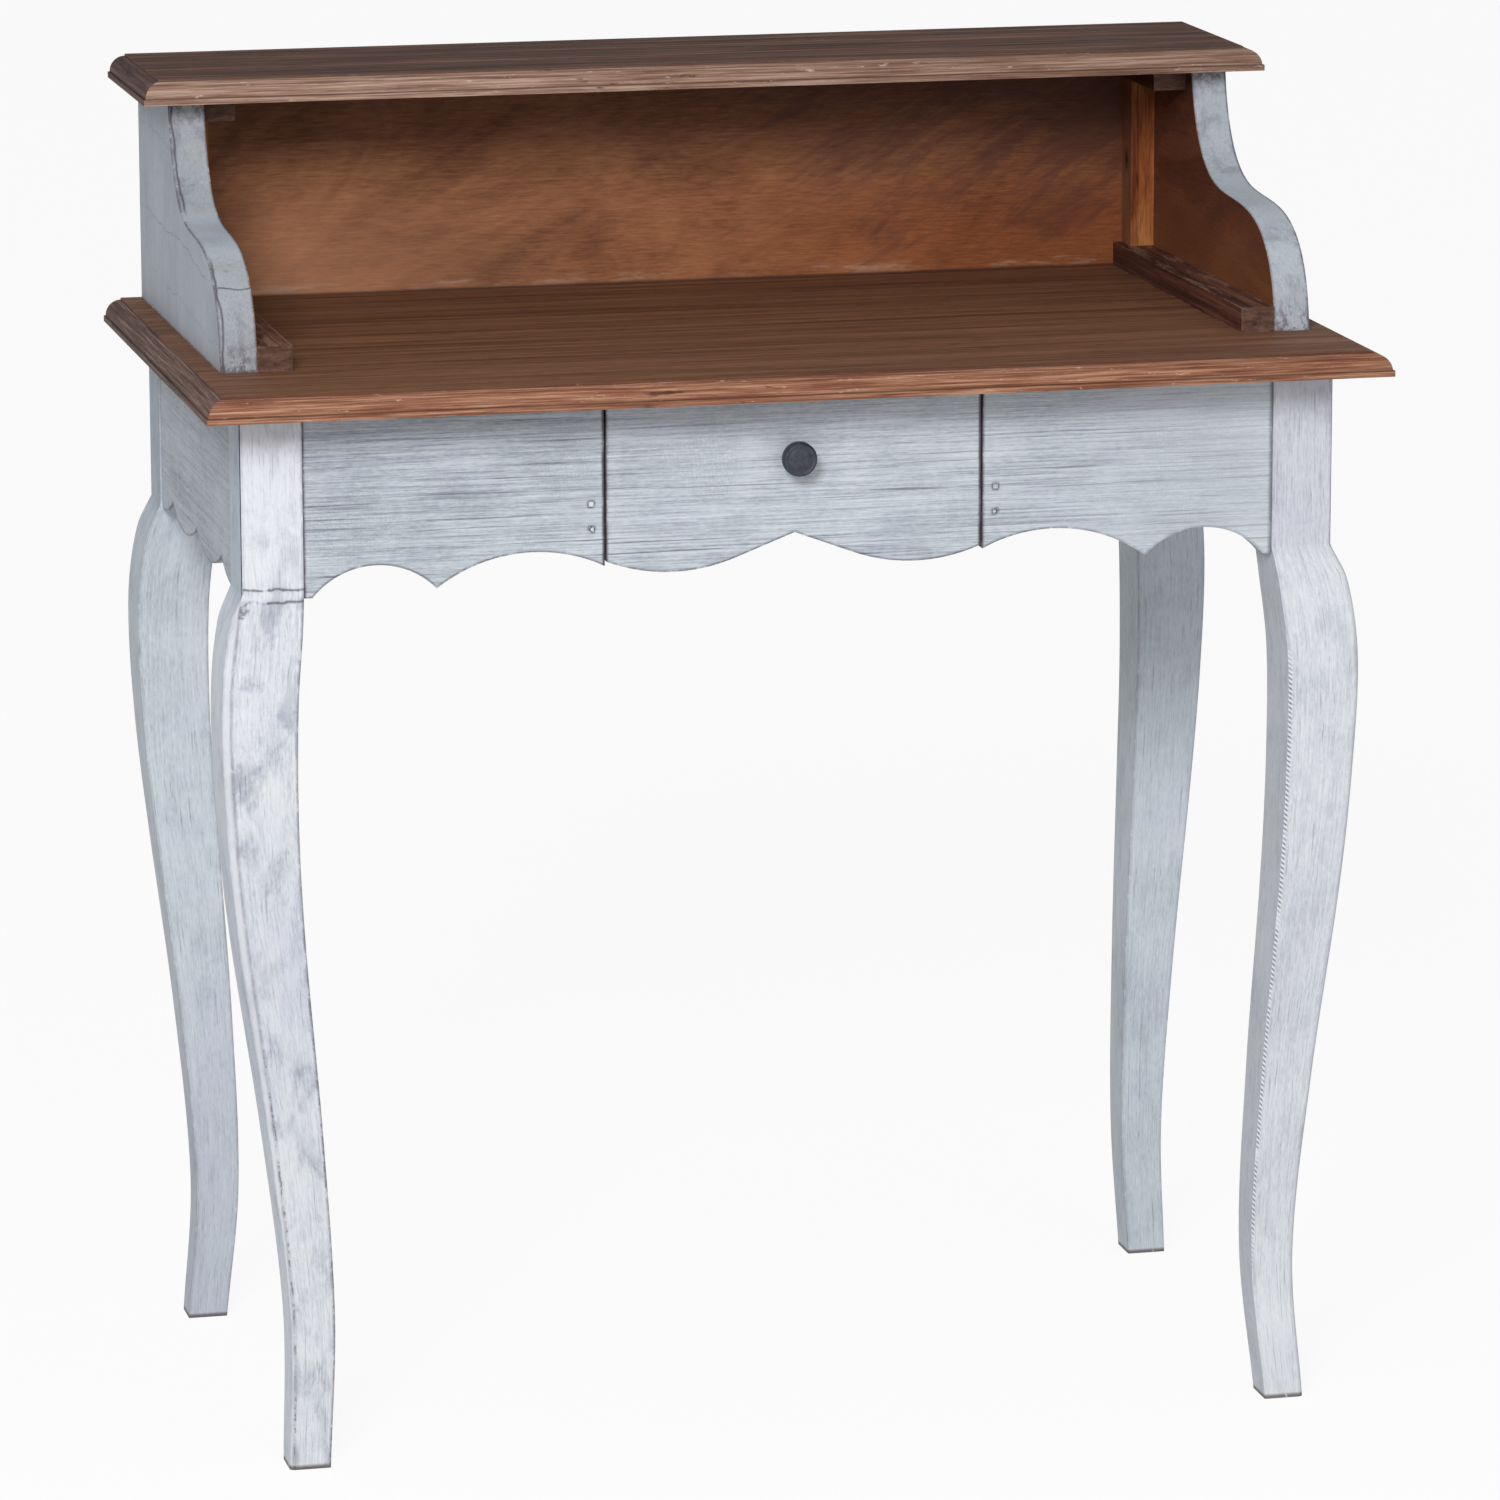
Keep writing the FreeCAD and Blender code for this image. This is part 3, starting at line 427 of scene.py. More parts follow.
def board_look(name, low, high, tones, front_tones, end_tones, painted_shade_right, painted_sheen_depth):
    """A moulded board: brown on top, streaked along the front moulding and dark at the ends, which
    meet in a mitre. Painted shade darkens the front's colour to the right, and a painted sheen
    pales the top behind it."""
    s = Shader(name)
    colour, roughness, height = wood_layers(s, X, tones)
    from_end = s.math("SUBTRACT", high[X], s.math("ABSOLUTE", s.axis(X)))
    from_front = s.math("SUBTRACT", s.axis(Y), low[Y])
    mitre = s.span(s.math("SUBTRACT", from_end, from_front), -0.4 * MM, 0.4 * MM)
    nose = s.times(s.span(from_front, NOSE + 0.6 * MM, NOSE - 0.6 * MM), mitre)
    tip = s.times(s.span(from_end, NOSE + 0.6 * MM, NOSE - 0.6 * MM), s.flip(mitre))
    pull = s.noise(stretched(X, 11.0, 520.0), 5.0, 0.75, 0.2, shift=(1, 3, 5))
    front_colour = s.ramp(pull, front_tones)
    # Painted shade: the front darkens towards the right
    front_colour = s.shade(s.span(s.axis(X), -300 * MM, 400 * MM), front_colour, painted_shade_right)
    colour = s.mix(s.times(nose, 0.9), colour, front_colour)
    end_grain = s.noise(stretched(Y, 8.0, 480.0), 4.0, 0.75, 0.15)
    colour = s.mix(s.times(tip, 0.9), colour, s.ramp(end_grain, end_tones, (0.38, 0.52, 0.66)))
    chips = s.span(s.noise((70.0, 260.0, 260.0), 3.0, 0.7, shift=(9, 1, 4)), 0.64, 0.7)
    colour = s.mix(s.times(chips, nose, 0.6), colour, tint(214, 190, 170))
    groove = s.times(s.near(from_front, NOSE, 1.1 * MM), mitre, s.span(pull, 0.42, 0.52))
    lip = s.times(s.near(s.axis(Z), low[Z] + LIP, 1.0 * MM), s.either(nose, tip), s.span(pull, 0.38, 0.5))
    nicks = s.span(s.noise((26.0, 130.0, 130.0), 3.0, 0.7, shift=(2, 2, 2)), 0.6, 0.68)
    nicks = s.times(nicks, nose, s.near(s.axis(X), -70 * MM, 170 * MM))
    marks = s.either(s.times(s.either(groove, lip), 0.75), nicks)
    colour = s.mix(s.times(marks, 0.85), colour, tint(58, 34, 28))
    # A painted sheen: the top takes a little of the front's colour for a way behind it
    painted_sheen = s.span(s.noise((5.0, 30.0, 5.0), 4.0, 0.6, shift=(0, 6, 0)), 0.36, 0.6)
    painted_sheen = s.times(painted_sheen, s.span(from_front, painted_sheen_depth, NOSE), s.flip(nose))
    colour = s.mix(s.times(painted_sheen, 0.1), colour, front_colour)
    height = s.total((height, 1.0), (s.times(nose, pull), 0.8), (marks, -1.0))
    return s.finish(colour, roughness, height, BOARD_DEPTH, Specular_IOR_Level=BOARD_SHINE)


def panel_look():
    """The back panel: clouded figure over level grain, dark at the top right, with a painted shadow of
    the shelf over its top, and orange below.
    """
    s = Shader("brown_wood_panel")
    s.place = s.turned(FIGURE_LEAN, "Y_AXIS")
    flow = s.noise((4.5, 4.5, 13.0), 6.0, 0.62, 1.6)
    drift = s.noise((7.0, 7.0, 52.0), 6.0, 0.72, 1.6, shift=(1, 0, 6))
    s.place = s.seat
    grain = s.noise(stretched(X, 9.0, 150.0), 6.0, 0.7, 0.7)
    flecks = s.noise(stretched(X, 55.0, 620.0), 4.0, 0.75)
    blotch = s.noise((6.0, 6.0, 10.0), 5.0, 0.7, 0.8, shift=(4, 0, 1))
    across, up = s.axis(X), s.math("SUBTRACT", s.axis(Z), PANEL_LOW[Z])
    tone = s.total((flow, 0.28), (blotch, 0.22), (drift, 0.06), (grain, 0.14), (flecks, 0.3))
    colour = s.ramp(tone, PANEL_TONES, (0.4, 0.5, 0.6))
    low_left = s.times(s.span(across, -50 * MM, -330 * MM), s.span(up, 110 * MM, 20 * MM))
    colour = s.mix(s.times(low_left, 0.45), colour, tint(188, 136, 102))
    low_right = s.times(s.span(across, -150 * MM, 300 * MM), s.span(up, 130 * MM, 30 * MM))
    colour = s.mix(s.times(low_right, 0.8), colour, s.ramp(tone, ORANGE_TONES, (0.4, 0.6)))
    # Dark clouds towards the top: partly the wood's figure, partly a painted shadow of the shelf
    cloud = s.span(s.total((up, 1.0), (across, 0.3), (flow, 0.4), (drift, 0.2)), 0.4, 0.51)
    colour = s.mix(s.times(cloud, 0.68), colour, tint(76, 40, 38))
    # A painted shadow of the shelf over the top of the panel
    painted_shelf_shadow = s.span(up, 80 * MM, 165 * MM)
    colour = s.shade(s.times(painted_shelf_shadow, 0.5), colour, tint(190, 184, 184))
    joint = s.near(up, 0.5 * MM, 2.5 * MM)
    colour = s.mix(s.times(joint, 0.8), colour, tint(44, 28, 24))
    dust = s.times(s.near(up, 6 * MM, 6 * MM), s.span(s.noise((14.0, 14.0, 90.0), 4.0, 0.75), 0.48, 0.64))
    colour = s.mix(s.times(dust, 0.6), colour, tint(184, 150, 128))
    roughness = s.span(tone, 0.4, 0.6, 0.7, 0.55)
    height = s.total((grain, 0.6), (flecks, 0.6))
    return s.finish(colour, roughness, height, WOOD_DEPTH, Specular_IOR_Level=WOOD_SHINE)


def cleat_look():
    """Strips along the hutch sides: dark, dusty on top, with a paler sawn end at the front."""
    s = Shader("brown_wood_cleat")
    colour, roughness, height = wood_layers(s, Y, CLEAT_TONES, wear=0.8, worn=tint(164, 136, 120))
    end = s.span(s.axis(Y, s.normal), -0.5, -0.8)
    sawn = s.ramp(s.noise((70.0, 70.0, 220.0), 4.0, 0.7), SAWN_TONES, (0.36, 0.64))
    colour = s.mix(s.times(end, 0.75), colour, sawn)
    dust = s.span(s.noise(stretched(Y, 14.0, 110.0), 4.0, 0.75, shift=(3, 3, 3)), 0.5, 0.62)
    dust = s.times(dust, s.span(s.axis(Z, s.normal), 0.5, 0.8))
    colour = s.mix(s.times(dust, 0.6), colour, tint(152, 122, 108))
    return s.finish(colour, roughness, height, WOOD_DEPTH, Specular_IOR_Level=WOOD_SHINE)


def corner_look():
    """Upright strips in the back corners, with painted shade on the face towards the middle, which is
    darker still around the screw."""
    s = Shader("brown_wood_corner")
    colour, roughness, height = wood_layers(s, Z, CORNER_TONES, slow=14.0, fast=50.0, warp=0.8, fine=0.3)
    # Painted shade on the face towards the middle
    inward_shade = s.span(s.times(s.axis(X, s.normal), s.math("SIGN", s.axis(X))), -0.4, -0.7)
    colour = s.mix(s.times(inward_shade, 0.7), colour, tint(122, 86, 64))
    screw = (SCREWS_LOW + SCREWS_HIGH) / 2
    stained = s.times(s.near(s.axis(Z), screw.z, 13 * MM), s.near(s.axis(Y), screw.y, 9 * MM), inward_shade)
    colour = s.mix(stained, colour, tint(22, 16, 14))
    return s.finish(colour, roughness, height, WOOD_DEPTH, Specular_IOR_Level=WOOD_SHINE)


def bare_look(name, along):
    s = Shader(name)
    return s.finish(*wood_layers(s, along, BARE_TONES), WOOD_DEPTH, Specular_IOR_Level=WOOD_SHINE)


# Metal


def metal_look(name, pale, dark, metallic, rough):
    s = Shader(name)
    cloud = s.span(s.noise(260.0, 4.0, 0.65), 0.35, 0.65)
    pits = s.span(s.noise(900.0, 2.0), 0.55, 0.7)
    # Paler along the edges: rubbed metal, partly a painted highlight
    rubbed = s.times(s.edges(1.0 * MM, 0.005, 0.1), 0.8)
    colour = s.mix(rubbed, s.mix(cloud, dark, pale), tint(112, 116, 122))
    roughness = s.span(cloud, 0.0, 1.0, rough, rough + 0.15)
    return s.finish(colour, roughness, s.flip(pits), METAL_DEPTH, Metallic=metallic)


# Legs: rings of softened sections from the foot to the writing board, in millimetres

ANKLE = 110
SHIN = 250
CALF = 400
POST_FOOT = 664
SHOULDER = POST_FOOT - 26
KNEE = POST_FOOT - 84
THIGH = (CALF + KNEE) / 2
POST_TOP = TOP_LOW[Z] / MM
# Height, width, reach of the outer faces beyond the post's, kick forward and toe-in of each section
SECTIONS = [(0, 31, -11.5, 40, 10), (ANKLE, 34, -18, 31, 8), (SHIN, 41, -8.5, 20, 4),
            (CALF, 49.5, 7.5, 6, 0), (THIGH, 53.5, 15.5, 0, 0), (KNEE, 56.5, KNEE_REACH, 0, 0),
            (SHOULDER, 55, 11, 0, 0), (POST_FOOT, POST_WIDTH, 0, 0, 0)]
# Rings are a step apart up to the post, and one close above its foot keeps its faces evenly lit
RING_STEP = 6
POST_RING = 1.5
# The chamfer is full from a height upwards on the left legs, slight elsewhere, and runs out at a slope
# below the post
CHAMFER = 6
SLIGHT_CHAMFER = 2.5
CHAMFER_FULL = 350
CHAMFER_SLOPE = 0.2
# Corners are eased over a short way, into curves of so many points
SOFT = 1.2
CURVE_POINTS = 3


def softened(corners, reach):
    """Corners eased into short curves of three points each."""
    points = []
    for number, corner in enumerate(corners):
        before, after = corners[number - 1], corners[(number + 1) % len(corners)]
        start = corner + (before - corner).normalized() * reach
        finish = corner + (after - corner).normalized() * reach
        points += [start, start / 4 + corner / 2 + finish / 4, finish]
    return points


def eased(height):
    """Width, reach, kick and toe-in at a height, smooth through the sections."""
    last = len(SECTIONS) - 1
    at = min(max(n for n in range(last + 1) if SECTIONS[n][0] <= height), last - 1)

    def slope(n, column):
        before, after = SECTIONS[max(n - 1, 0)], SECTIONS[min(n + 1, last)]
        return (after[column] - before[column]) / (after[0] - before[0])

    low, high = SECTIONS[at], SECTIONS[at + 1]
    gap = high[0] - low[0]
    t = (height - low[0]) / gap
    return [low[c] * (1 + 2 * t) * (1 - t) ** 2 + slope(at, c) * gap * t * (1 - t) ** 2
            + high[c] * t * t * (3 - 2 * t) + slope(at + 1, c) * gap * t * t * (t - 1) for c in range(1, 5)]


def ring(height, side, end):
    """A leg's section about the middle of its post, drawn as on the left front leg, from the inner edge
    across the front. The outer edge's chamfer is wide on the left legs, narrows to the foot and ends at
    the post."""
    width, reach, kick, toe_in, cut = POST_WIDTH, 0, 0, 0, SOFT
    if height < POST_FOOT:
        width, reach, kick, toe_in = eased(height)
        full = CHAMFER if side < 0 else SLIGHT_CHAMFER
        cut = max(SLIGHT_CHAMFER, full * min(1, height / CHAMFER_FULL))
        cut = min(cut, SOFT + (POST_FOOT - height) * CHAMFER_SLOPE)
    if end > 0:
        kick = toe_in = 0
    outer = POST_WIDTH / 2 + reach - toe_in
    far = POST_WIDTH / 2 + reach + kick
    corners = [(width - outer, -far), (cut - outer, -far), (-outer, cut - far),
               (-outer, width - far), (width - outer, width - far)]
    return softened([Vector(corner) for corner in corners], SOFT)


def unwrapped_runs():
    """How far round the calf each of a section's points is, in metres, which places the paint."""
    points = ring(CALF, -1, -1)
    runs = [0.0]
    for number, point in enumerate(points):
        runs.append(runs[-1] + (points[(number + 1) % len(points)] - point).length * MM)
    return runs


# The second corner's curve ends the front face, and the chamfer runs from there to the third's
RUNS = unwrapped_runs()
FRONT_EDGE = RUNS[CURVE_POINTS + 1]
CHAMFER_MIDDLE = (RUNS[2 * CURVE_POINTS - 1] + RUNS[2 * CURVE_POINTS]) / 2

# How far the marks on the front legs lean, in degrees, and how far apart the tooth marks are
SLANT = 7
TOOTH = 3.8 * MM


class LegShader(Shader):
    """Paint brushed down a leg, drawn on its unwrapped strip, with a start of its own on each leg."""

    def __init__(self, name, start, smudge, wear):
        super().__init__(name)
        shifted = self.add("ShaderNodeVectorMath", {0: self.unwrapped, 1: (start, 0, 0)}, operation="ADD")
        self.place = shifted.outputs[0]
        layers = paint_layers(self, Y, smudge=smudge, wear=wear, centre=(0.0, 0.6, 0.0), **LEG_PAINT)
        self.colour, self.roughness, self.height = layers
        self.across, self.up = self.axis(X, self.unwrapped), self.axis(Z)
        self.chance = self.noise((60.0, 25.0, 60.0), 3.0, 0.7, shift=(3, 0, 0))
        self.sideways = self.span(self.math("ABSOLUTE", self.axis(X, self.normal)), 0.6, 0.85)
        self.on_post = self.span(self.up, (POST_FOOT - 14) * MM, (POST_FOOT + 4) * MM)

    def cover(self, share, colour):
        self.colour = self.mix(share, self.colour, colour)

    def dim(self, share, filter_colour):
        self.colour = self.shade(share, self.colour, filter_colour)

    def dim_post_sides(self):
        self.dim(self.times(self.on_post, self.sideways), tint(222, 228, 234))

    def finish_leg(self, *marks):
        """Rubs the rim of the foot, then wires the layers. Marks are values with their heights."""
        rim = self.times(self.span(self.up, 1.5 * MM, 4.5 * MM, 1.0, 0.0), self.span(self.chance, 0.3, 0.45))
        self.cover(self.times(rim, 0.85), tint(88, 72, 70))
        height = self.total((self.height, 1.0), *marks)
        return self.finish(self.colour, self.roughness, height, PAINT_DEPTH)


def worn_leg_dents(s, in_front, below):
    """Chips along the front's two edges, two lines scribed across the foot of the post, a nick at the
    end of the lower one and a scrape at the foot."""
    ragged = s.total((s.across, 1.0), (s.noise(60.0, 4.0, 0.7, shift=(1, 4, 0)), 4 * MM))
    inner_edge = s.near(ragged, 3.4 * MM, 1.7 * MM)
    inner_edge = s.times(inner_edge, s.span(s.up, (KNEE - 20) * MM, SHIN * MM, 0.25, 1.0))
    outer_edge = s.near(ragged, FRONT_EDGE + 1.5 * MM, 1.3 * MM)
    outer_edge = s.times(outer_edge, s.span(s.up, (CALF + 20) * MM, (SHIN + 10) * MM, 0.3, 1.0))
    flaked = s.span(s.noise((80.0, 55.0, 80.0), 4.0, 0.8, shift=(3, 0, 2)), 0.49, 0.56)
    chips = s.times(s.either(inner_edge, outer_edge), below, flaked)
    level = s.total((s.up, 1.0), (s.noise(45.0, 4.0, 0.7, shift=(6, 1, 0)), 8 * MM))
    upper_line = s.near(level, (POST_FOOT + 7) * MM, 1.6 * MM)
    lower_line = s.near(level, (POST_FOOT - 2) * MM, 2.0 * MM)
    scribed = s.times(s.either(upper_line, lower_line), in_front, s.span(s.chance, 0.36, 0.5))
    corner = s.near(ragged, FRONT_EDGE, 7 * MM)
    nick = s.span(s.times(s.near(level, (POST_FOOT - 7) * MM, 9 * MM), corner), 0.3, 0.5)
    nick = s.times(nick, s.span(s.noise(260.0, 3.0, 0.7), 0.4, 0.6, 0.1, 0.8))
    scrape = s.times(s.near(s.up, 10 * MM, 16 * MM), corner)
    return s.either(scribed, nick, s.times(chips, 0.8), s.times(scrape, 0.5))


def worn_leg_look():
    """The left front leg, the most worn: patches and hairs in the paint, a pale chamfer, and dents."""
    s = LegShader("whitewash_leg_front_left", start=0.0, smudge=0.85, wear=0.8)
    # Painted light: the sides of the leg lighter and bluer
    s.cover(s.times(s.sideways, 0.4), tint(232, 242, 255))
    s.dim_post_sides()
    s.cover(s.times(s.on_post, s.flip(s.sideways), 0.35), tint(244, 246, 253))
    s.dim(s.near(s.up, (CALF - 40) * MM, 180 * MM), tint(242, 243, 248))
    patches = s.span(s.noise((20.0, 13.0, 20.0), 4.0, 0.6, 0.3, shift=(5, 2, 0)), 0.5, 0.64)
    s.cover(s.times(patches, 0.3), tint(238, 241, 241))
    s.place = s.turned(SLANT, "Z_AXIS")
    hairs = s.span(s.noise(stretched(Y, 26.0, 560.0), 4.0, 0.7, 0.4, shift=(2, 7, 0)), 0.55, 0.68)
    s.cover(s.times(hairs, 0.35), tint(150, 152, 162))
    below = s.span(s.up, (POST_FOOT - 24) * MM, (POST_FOOT - 34) * MM)
    s.cover(s.times(s.near(s.across, CHAMFER_MIDDLE, 5 * MM), below, 0.6), tint(240, 241, 246))
    in_front = s.math("LESS_THAN", s.across, FRONT_EDGE)
    scuffed = s.times(s.near(s.up, (POST_FOOT - 6) * MM, 22 * MM), in_front, s.span(s.chance, 0.44, 0.6))
    s.dim(s.times(scuffed, 0.5), tint(178, 180, 192))
    dents = worn_leg_dents(s, in_front, below)
    s.cover(s.times(dents, 0.85), tint(84, 80, 92))
    return s.finish_leg((dents, -1.2))


def toothed_leg_look():
    """The right front leg, with tooth marks along its inner edge."""
    s = LegShader("whitewash_leg_front_right", start=3.1, smudge=0.3, wear=0.15)
    # Painted shade on the sides of the leg
    s.dim(s.sideways, tint(246, 247, 251))
    s.dim_post_sides()
    s.dim(s.on_post, tint(245, 244, 248))
    s.place = s.turned(SLANT, "Z_AXIS")
    from_ankle = s.span(s.up, (ANKLE - 20) * MM, (ANKLE + 30) * MM)
    to_knee = s.span(s.up, (KNEE + 20) * MM, (KNEE - 20) * MM)
    edge = s.times(s.near(s.across, 2.0 * MM, 2.6 * MM), from_ankle, to_knee)
    s.cover(s.times(edge, 0.7), tint(238, 240, 245))
    waves = s.math("SINE", s.times(s.total((s.up, 1.0), (s.across, 0.9)), math.tau / TOOTH))
    teeth = s.times(s.span(waves, 0.2, 0.7), edge, s.span(s.noise((40.0, 45.0, 40.0), 2.0), 0.3, 0.44))
    s.cover(s.times(teeth, 0.95), tint(108, 108, 124))
    return s.finish_leg((teeth, -0.6))


def back_leg_look(hand):
    """A back leg, greyer than the front ones: the left one most at its foot, and the right one on the
    front and back of its upper half, where a shadow of the desk is painted."""
    start = {"left": 7.3, "right": 10.4}[hand]
    s = LegShader(f"whitewash_leg_back_{hand}", start, smudge=0.3, wear=0.35)
    s.dim(1.0, tint(240, 247, 249))
    if hand == "left":
        s.dim(s.span(s.up, (CALF + 20) * MM, (ANKLE + 40) * MM), tint(244, 241, 246))
    else:
        # A painted shadow of the desk over the upper half of the right leg
        painted_desk_shadow = s.span(s.up, (CALF - 100) * MM, (CALF + 100) * MM)
        s.dim(s.times(s.flip(s.sideways), painted_desk_shadow), tint(240, 240, 243))
    s.dim_post_sides()
    return s.finish_leg()


LEG_LOOKS = {
    "leg_front_left": worn_leg_look(),
    "leg_front_right": toothed_leg_look(),
    "leg_back_left": back_leg_look("left"),
    "leg_back_right": back_leg_look("right"),
}


def add_piece(name, mesh, look, body, replaced):
    """Puts a mesh in the scene in place of a node, on the node's body."""
    bmesh.ops.recalc_face_normals(mesh, faces=mesh.faces)
    data = bpy.data.meshes.new(name)
    mesh.to_mesh(data)
    mesh.free()
    data.materials.append(look)
    piece = bpy.data.objects.new(name, data)
    scene.collection.objects.link(piece)
    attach(piece, body)
    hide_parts(replaced)
    return piece


def make_leg(place, hand, side, end):
    """Joins the rings of a leg into a skin, and unwraps it for the paint."""
    node = f"leg_{place}_{hand}"
    post_y = FRONT_POST_Y if end < 0 else BACK_POST_Y
    heights = [*range(0, POST_FOOT, RING_STEP), POST_FOOT, POST_FOOT + POST_RING, POST_TOP]
    mesh = bmesh.new()
    strip = mesh.loops.layers.uv.new("strip")
    rows = [[mesh.verts.new((side * (POST_X - p.x * MM), post_y - end * p.y * MM, height * MM))
             for p in ring(height, side, end)] for height in heights]
    for low, high, low_height, high_height in zip(rows, rows[1:], heights, heights[1:]):
        for number in range(len(low)):
            after = (number + 1) % len(low)
            face = mesh.faces.new([low[number], low[after], high[after], high[number]])
            face.smooth = True
            steps = (number, number + 1, number + 1, number)
            levels = (low_height, low_height, high_height, high_height)
            for loop, step, height in zip(face.loops, steps, levels):
                loop[strip].uv = (RUNS[step], height * MM)
    mesh.faces.new(rows[0])
    mesh.faces.new(rows[-1])
    leg = add_piece(f"cabriole_{place}_{hand}", mesh, LEG_LOOKS[node], "frame", node)
    leg.modifiers.new("even_normals", "WEIGHTED_NORMAL").keep_sharp = True


for end, place in ((-1, "front"), (1, "back")):
    for side, hand in ((-1, "left"), (1, "right")):
        make_leg(place, hand, side, end)

# Knob: a turned disc with an eased rim and a ring cut in its face, on a flared neck. Its height is in
# metres and its other sizes are in millimetres.

KNOB_RADIUS = (KNOB_HIGH[X] - KNOB_LOW[X]) / 2 / MM
KNOB_LENGTH = (DRAWER_LOW[Y] - KNOB_LOW[Y]) / MM
KNOB_HEIGHT = (KNOB_LOW[Z] + KNOB_HIGH[Z]) / 2
KNOB_TURNS = 64
NECK = 6.2
HEAD_BACK = 12.3
KNOB_SOFT = 0.8

knob_iron = metal_look("knob_iron", tint(66, 70, 78), tint(46, 49, 56), metallic=0.2, rough=0.5)


def make_knob():
    """Turns the knob's outline, which runs from the drawer front outwards, as distance and radius."""
    flare = [(0, NECK + 2), (3, NECK), (HEAD_BACK - 2.8, NECK)]
    head = [(HEAD_BACK, KNOB_RADIUS), (KNOB_LENGTH - 2.4, KNOB_RADIUS),
            (KNOB_LENGTH - 0.3, KNOB_RADIUS - 2.1)]
    face = [(KNOB_LENGTH - 1.5, KNOB_RADIUS - 3.5), (KNOB_LENGTH - 0.6, KNOB_RADIUS - 5),
            (KNOB_LENGTH, 0.8)]
    outline = [Vector(point) for point in flare + head + face]
    eased_corners = softened(outline, KNOB_SOFT)[CURVE_POINTS:-CURVE_POINTS]
    outline = [outline[0], *eased_corners, outline[-1]]
    angles = [math.tau * turn / KNOB_TURNS for turn in range(KNOB_TURNS)]
    mesh = bmesh.new()
    rows = [[mesh.verts.new((radius * math.cos(angle) * MM, DRAWER_LOW[Y] - out * MM,
                             KNOB_HEIGHT + radius * math.sin(angle) * MM)) for angle in angles]
            for out, radius in outline]
    for low, high in zip(rows, rows[1:]):
        for turn in range(KNOB_TURNS):
            after = (turn + 1) % KNOB_TURNS
            mesh.faces.new([low[turn], low[after], high[after], high[turn]]).smooth = True
    mesh.faces.new(rows[0])
    mesh.faces.new(rows[-1]).smooth = True
    add_piece("turned_knob", mesh, knob_iron, "drawer", "drawer_knob")


make_knob()

# Looks of the CAD nodes, by the start of their names

front_paint = front_look()
cleat_wood = cleat_look()
corner_wood = corner_look()
bare_across = bare_look("plain_wood_across", X)
bare_deep = bare_look("plain_wood_deep", Y)
old_iron = metal_look("old_screw", tint(44, 38, 36), tint(22, 18, 18), metallic=0.4, rough=0.5)
steel = metal_look("steel", tint(120, 116, 112), tint(78, 72, 70), metallic=0.9, rough=0.4)
LOOKS = {
    "desk_top": board_look("brown_wood_top", TOP_LOW, TOP_HIGH, **TOP_WOOD),
    "upper_shelf": board_look("brown_wood_shelf", SHELF_LOW, SHELF_HIGH, **SHELF_WOOD),
    "hutch_back_panel": panel_look(),
    "front_apron": front_paint,
    "drawer_front": front_paint,
    "back_apron": front_paint,
    "side_apron": side_look(),
    **LEG_LOOKS,
    "hutch_side": hutch_side_look(),
    "base_cleat": cleat_wood,
    "shelf_cleat": cleat_wood,
    "corner_cleat_left": corner_wood,
    "corner_cleat_right": corner_wood,
    "drawer_knob": knob_iron,
    "apron_nails": nail_look(),
    "corner_cleat_screws": old_iron,
    "drawer_back": bare_across,
    "drawer_bottom": bare_across,
    "drawer_": bare_deep,
    "partition": bare_deep,
    "top_batten": bare_deep,
    "": steel,
}
for name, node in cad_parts.items():
    look = next(look for start, look in LOOKS.items() if name.startswith(start))
    node.data.materials.clear()
    node.data.materials.append(look)

# Floor, light and camera

FLOOR_EDGE = 40.0
MIDDLE = (0.0, 0.0, 0.5)
WHITE = (1, 1, 1, 1)


def floor_look():
    """Grey in the light that it throws back, near white to the eye, with the desk's shadow kept."""
    s = Shader("pale_floor")
    speck = s.span(s.noise(3.0, 3.0), 0.3, 0.7)
    path = s.add("ShaderNodeLightPath").outputs
    seen = s.either(path["Is Camera Ray"], path["Is Glossy Ray"], path["Is Transmission Ray"])
    grey = s.mix(speck, tint(203, 203, 203), tint(209, 209, 209))
    s.feed(s.surface.inputs["Base Color"], s.mix(seen, grey, WHITE))
    s.surface.inputs["Roughness"].default_value = 0.9
    s.surface.inputs["Specular IOR Level"].default_value = 0.0
    glow = s.add("ShaderNodeEmission", {"Color": WHITE, "Strength": 1.0})
    shown = s.add("ShaderNodeMixShader", {0: s.times(seen, 0.9), 1: s.surface.outputs[0], 2: glow.outputs[0]})
    s.feed(s.tree.nodes["Material Output"].inputs["Surface"], shown.outputs[0])
    return s.material


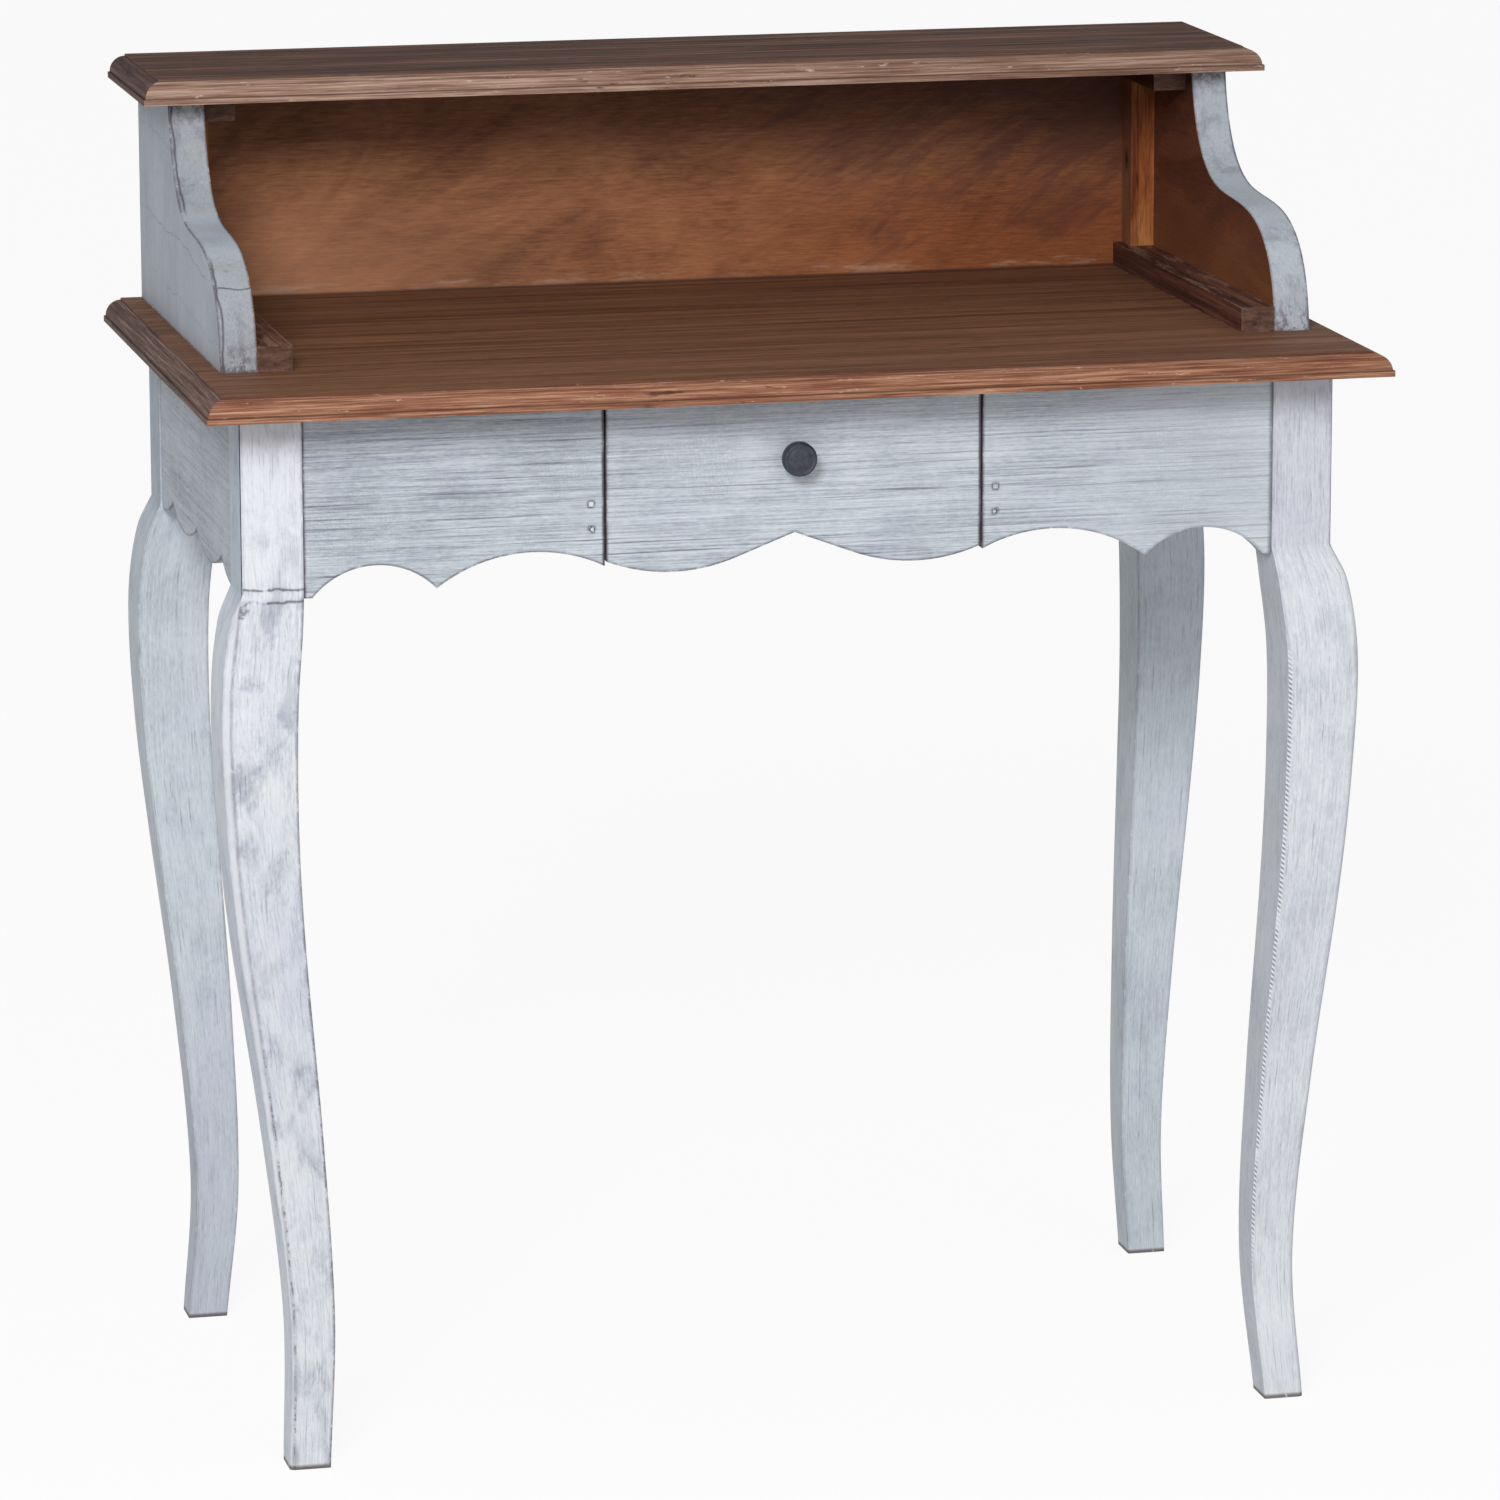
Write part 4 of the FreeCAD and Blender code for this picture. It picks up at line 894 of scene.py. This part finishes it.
def make_floor():
    corners = [(-FLOOR_EDGE, -FLOOR_EDGE, 0), (FLOOR_EDGE, -FLOOR_EDGE, 0),
               (FLOOR_EDGE, FLOOR_EDGE, 0), (-FLOOR_EDGE, FLOOR_EDGE, 0)]
    mesh = bpy.data.meshes.new("floor")
    mesh.from_pydata(corners, [], [(0, 1, 2, 3)])
    mesh.materials.append(floor_look())
    floor = bpy.data.objects.new("floor", mesh)
    scene.collection.objects.link(floor)


def add_light(name, place, target, size, power):
    light = bpy.data.lights.new(name, "AREA")
    light.shape = "DISK"
    light.size = size
    light.energy = power
    lamp = bpy.data.objects.new(name, light)
    lamp.location = place
    lamp.rotation_euler = (Vector(target) - Vector(place)).to_track_quat("-Z", "Y").to_euler()
    scene.collection.objects.link(lamp)


def add_world(strength):
    world = bpy.data.worlds.new("studio")
    world.use_nodes = True
    background = world.node_tree.nodes["Background"]
    background.inputs["Color"].default_value = WHITE
    background.inputs["Strength"].default_value = strength
    scene.world = world


def add_camera(place, yaw, pitch, roll, focal):
    """A camera that looks along +Y, turned to the right, up and about its own axis, in degrees. Focal is
    the focal length as a share of the picture's width."""
    yaw, pitch = math.radians(yaw), math.radians(pitch)
    ahead = Vector((math.sin(yaw) * math.cos(pitch), math.cos(yaw) * math.cos(pitch), math.sin(pitch)))
    right = ahead.cross(Vector((0, 0, 1))).normalized()
    facing = Matrix((right, right.cross(ahead), -ahead)).transposed().to_4x4()
    data = bpy.data.cameras.new("camera")
    data.lens = focal * data.sensor_width
    data.clip_end = 200.0
    camera = bpy.data.objects.new("camera", data)
    camera.matrix_world = Matrix.Translation(place) @ facing @ Matrix.Rotation(math.radians(roll), 4, "Z")
    scene.collection.objects.link(camera)
    scene.camera = camera


make_floor()
add_light("key_light", (-1.8, -4.0, 2.9), MIDDLE, size=1.5, power=125.0)
add_light("fill_light", (1.5, -4.5, 1.6), MIDDLE, size=3.0, power=22.0)
add_world(strength=0.45)
add_camera((-1.3055, -5.5702, 1.7293), yaw=13.304, pitch=-12.276, roll=-0.122, focal=5.0288)
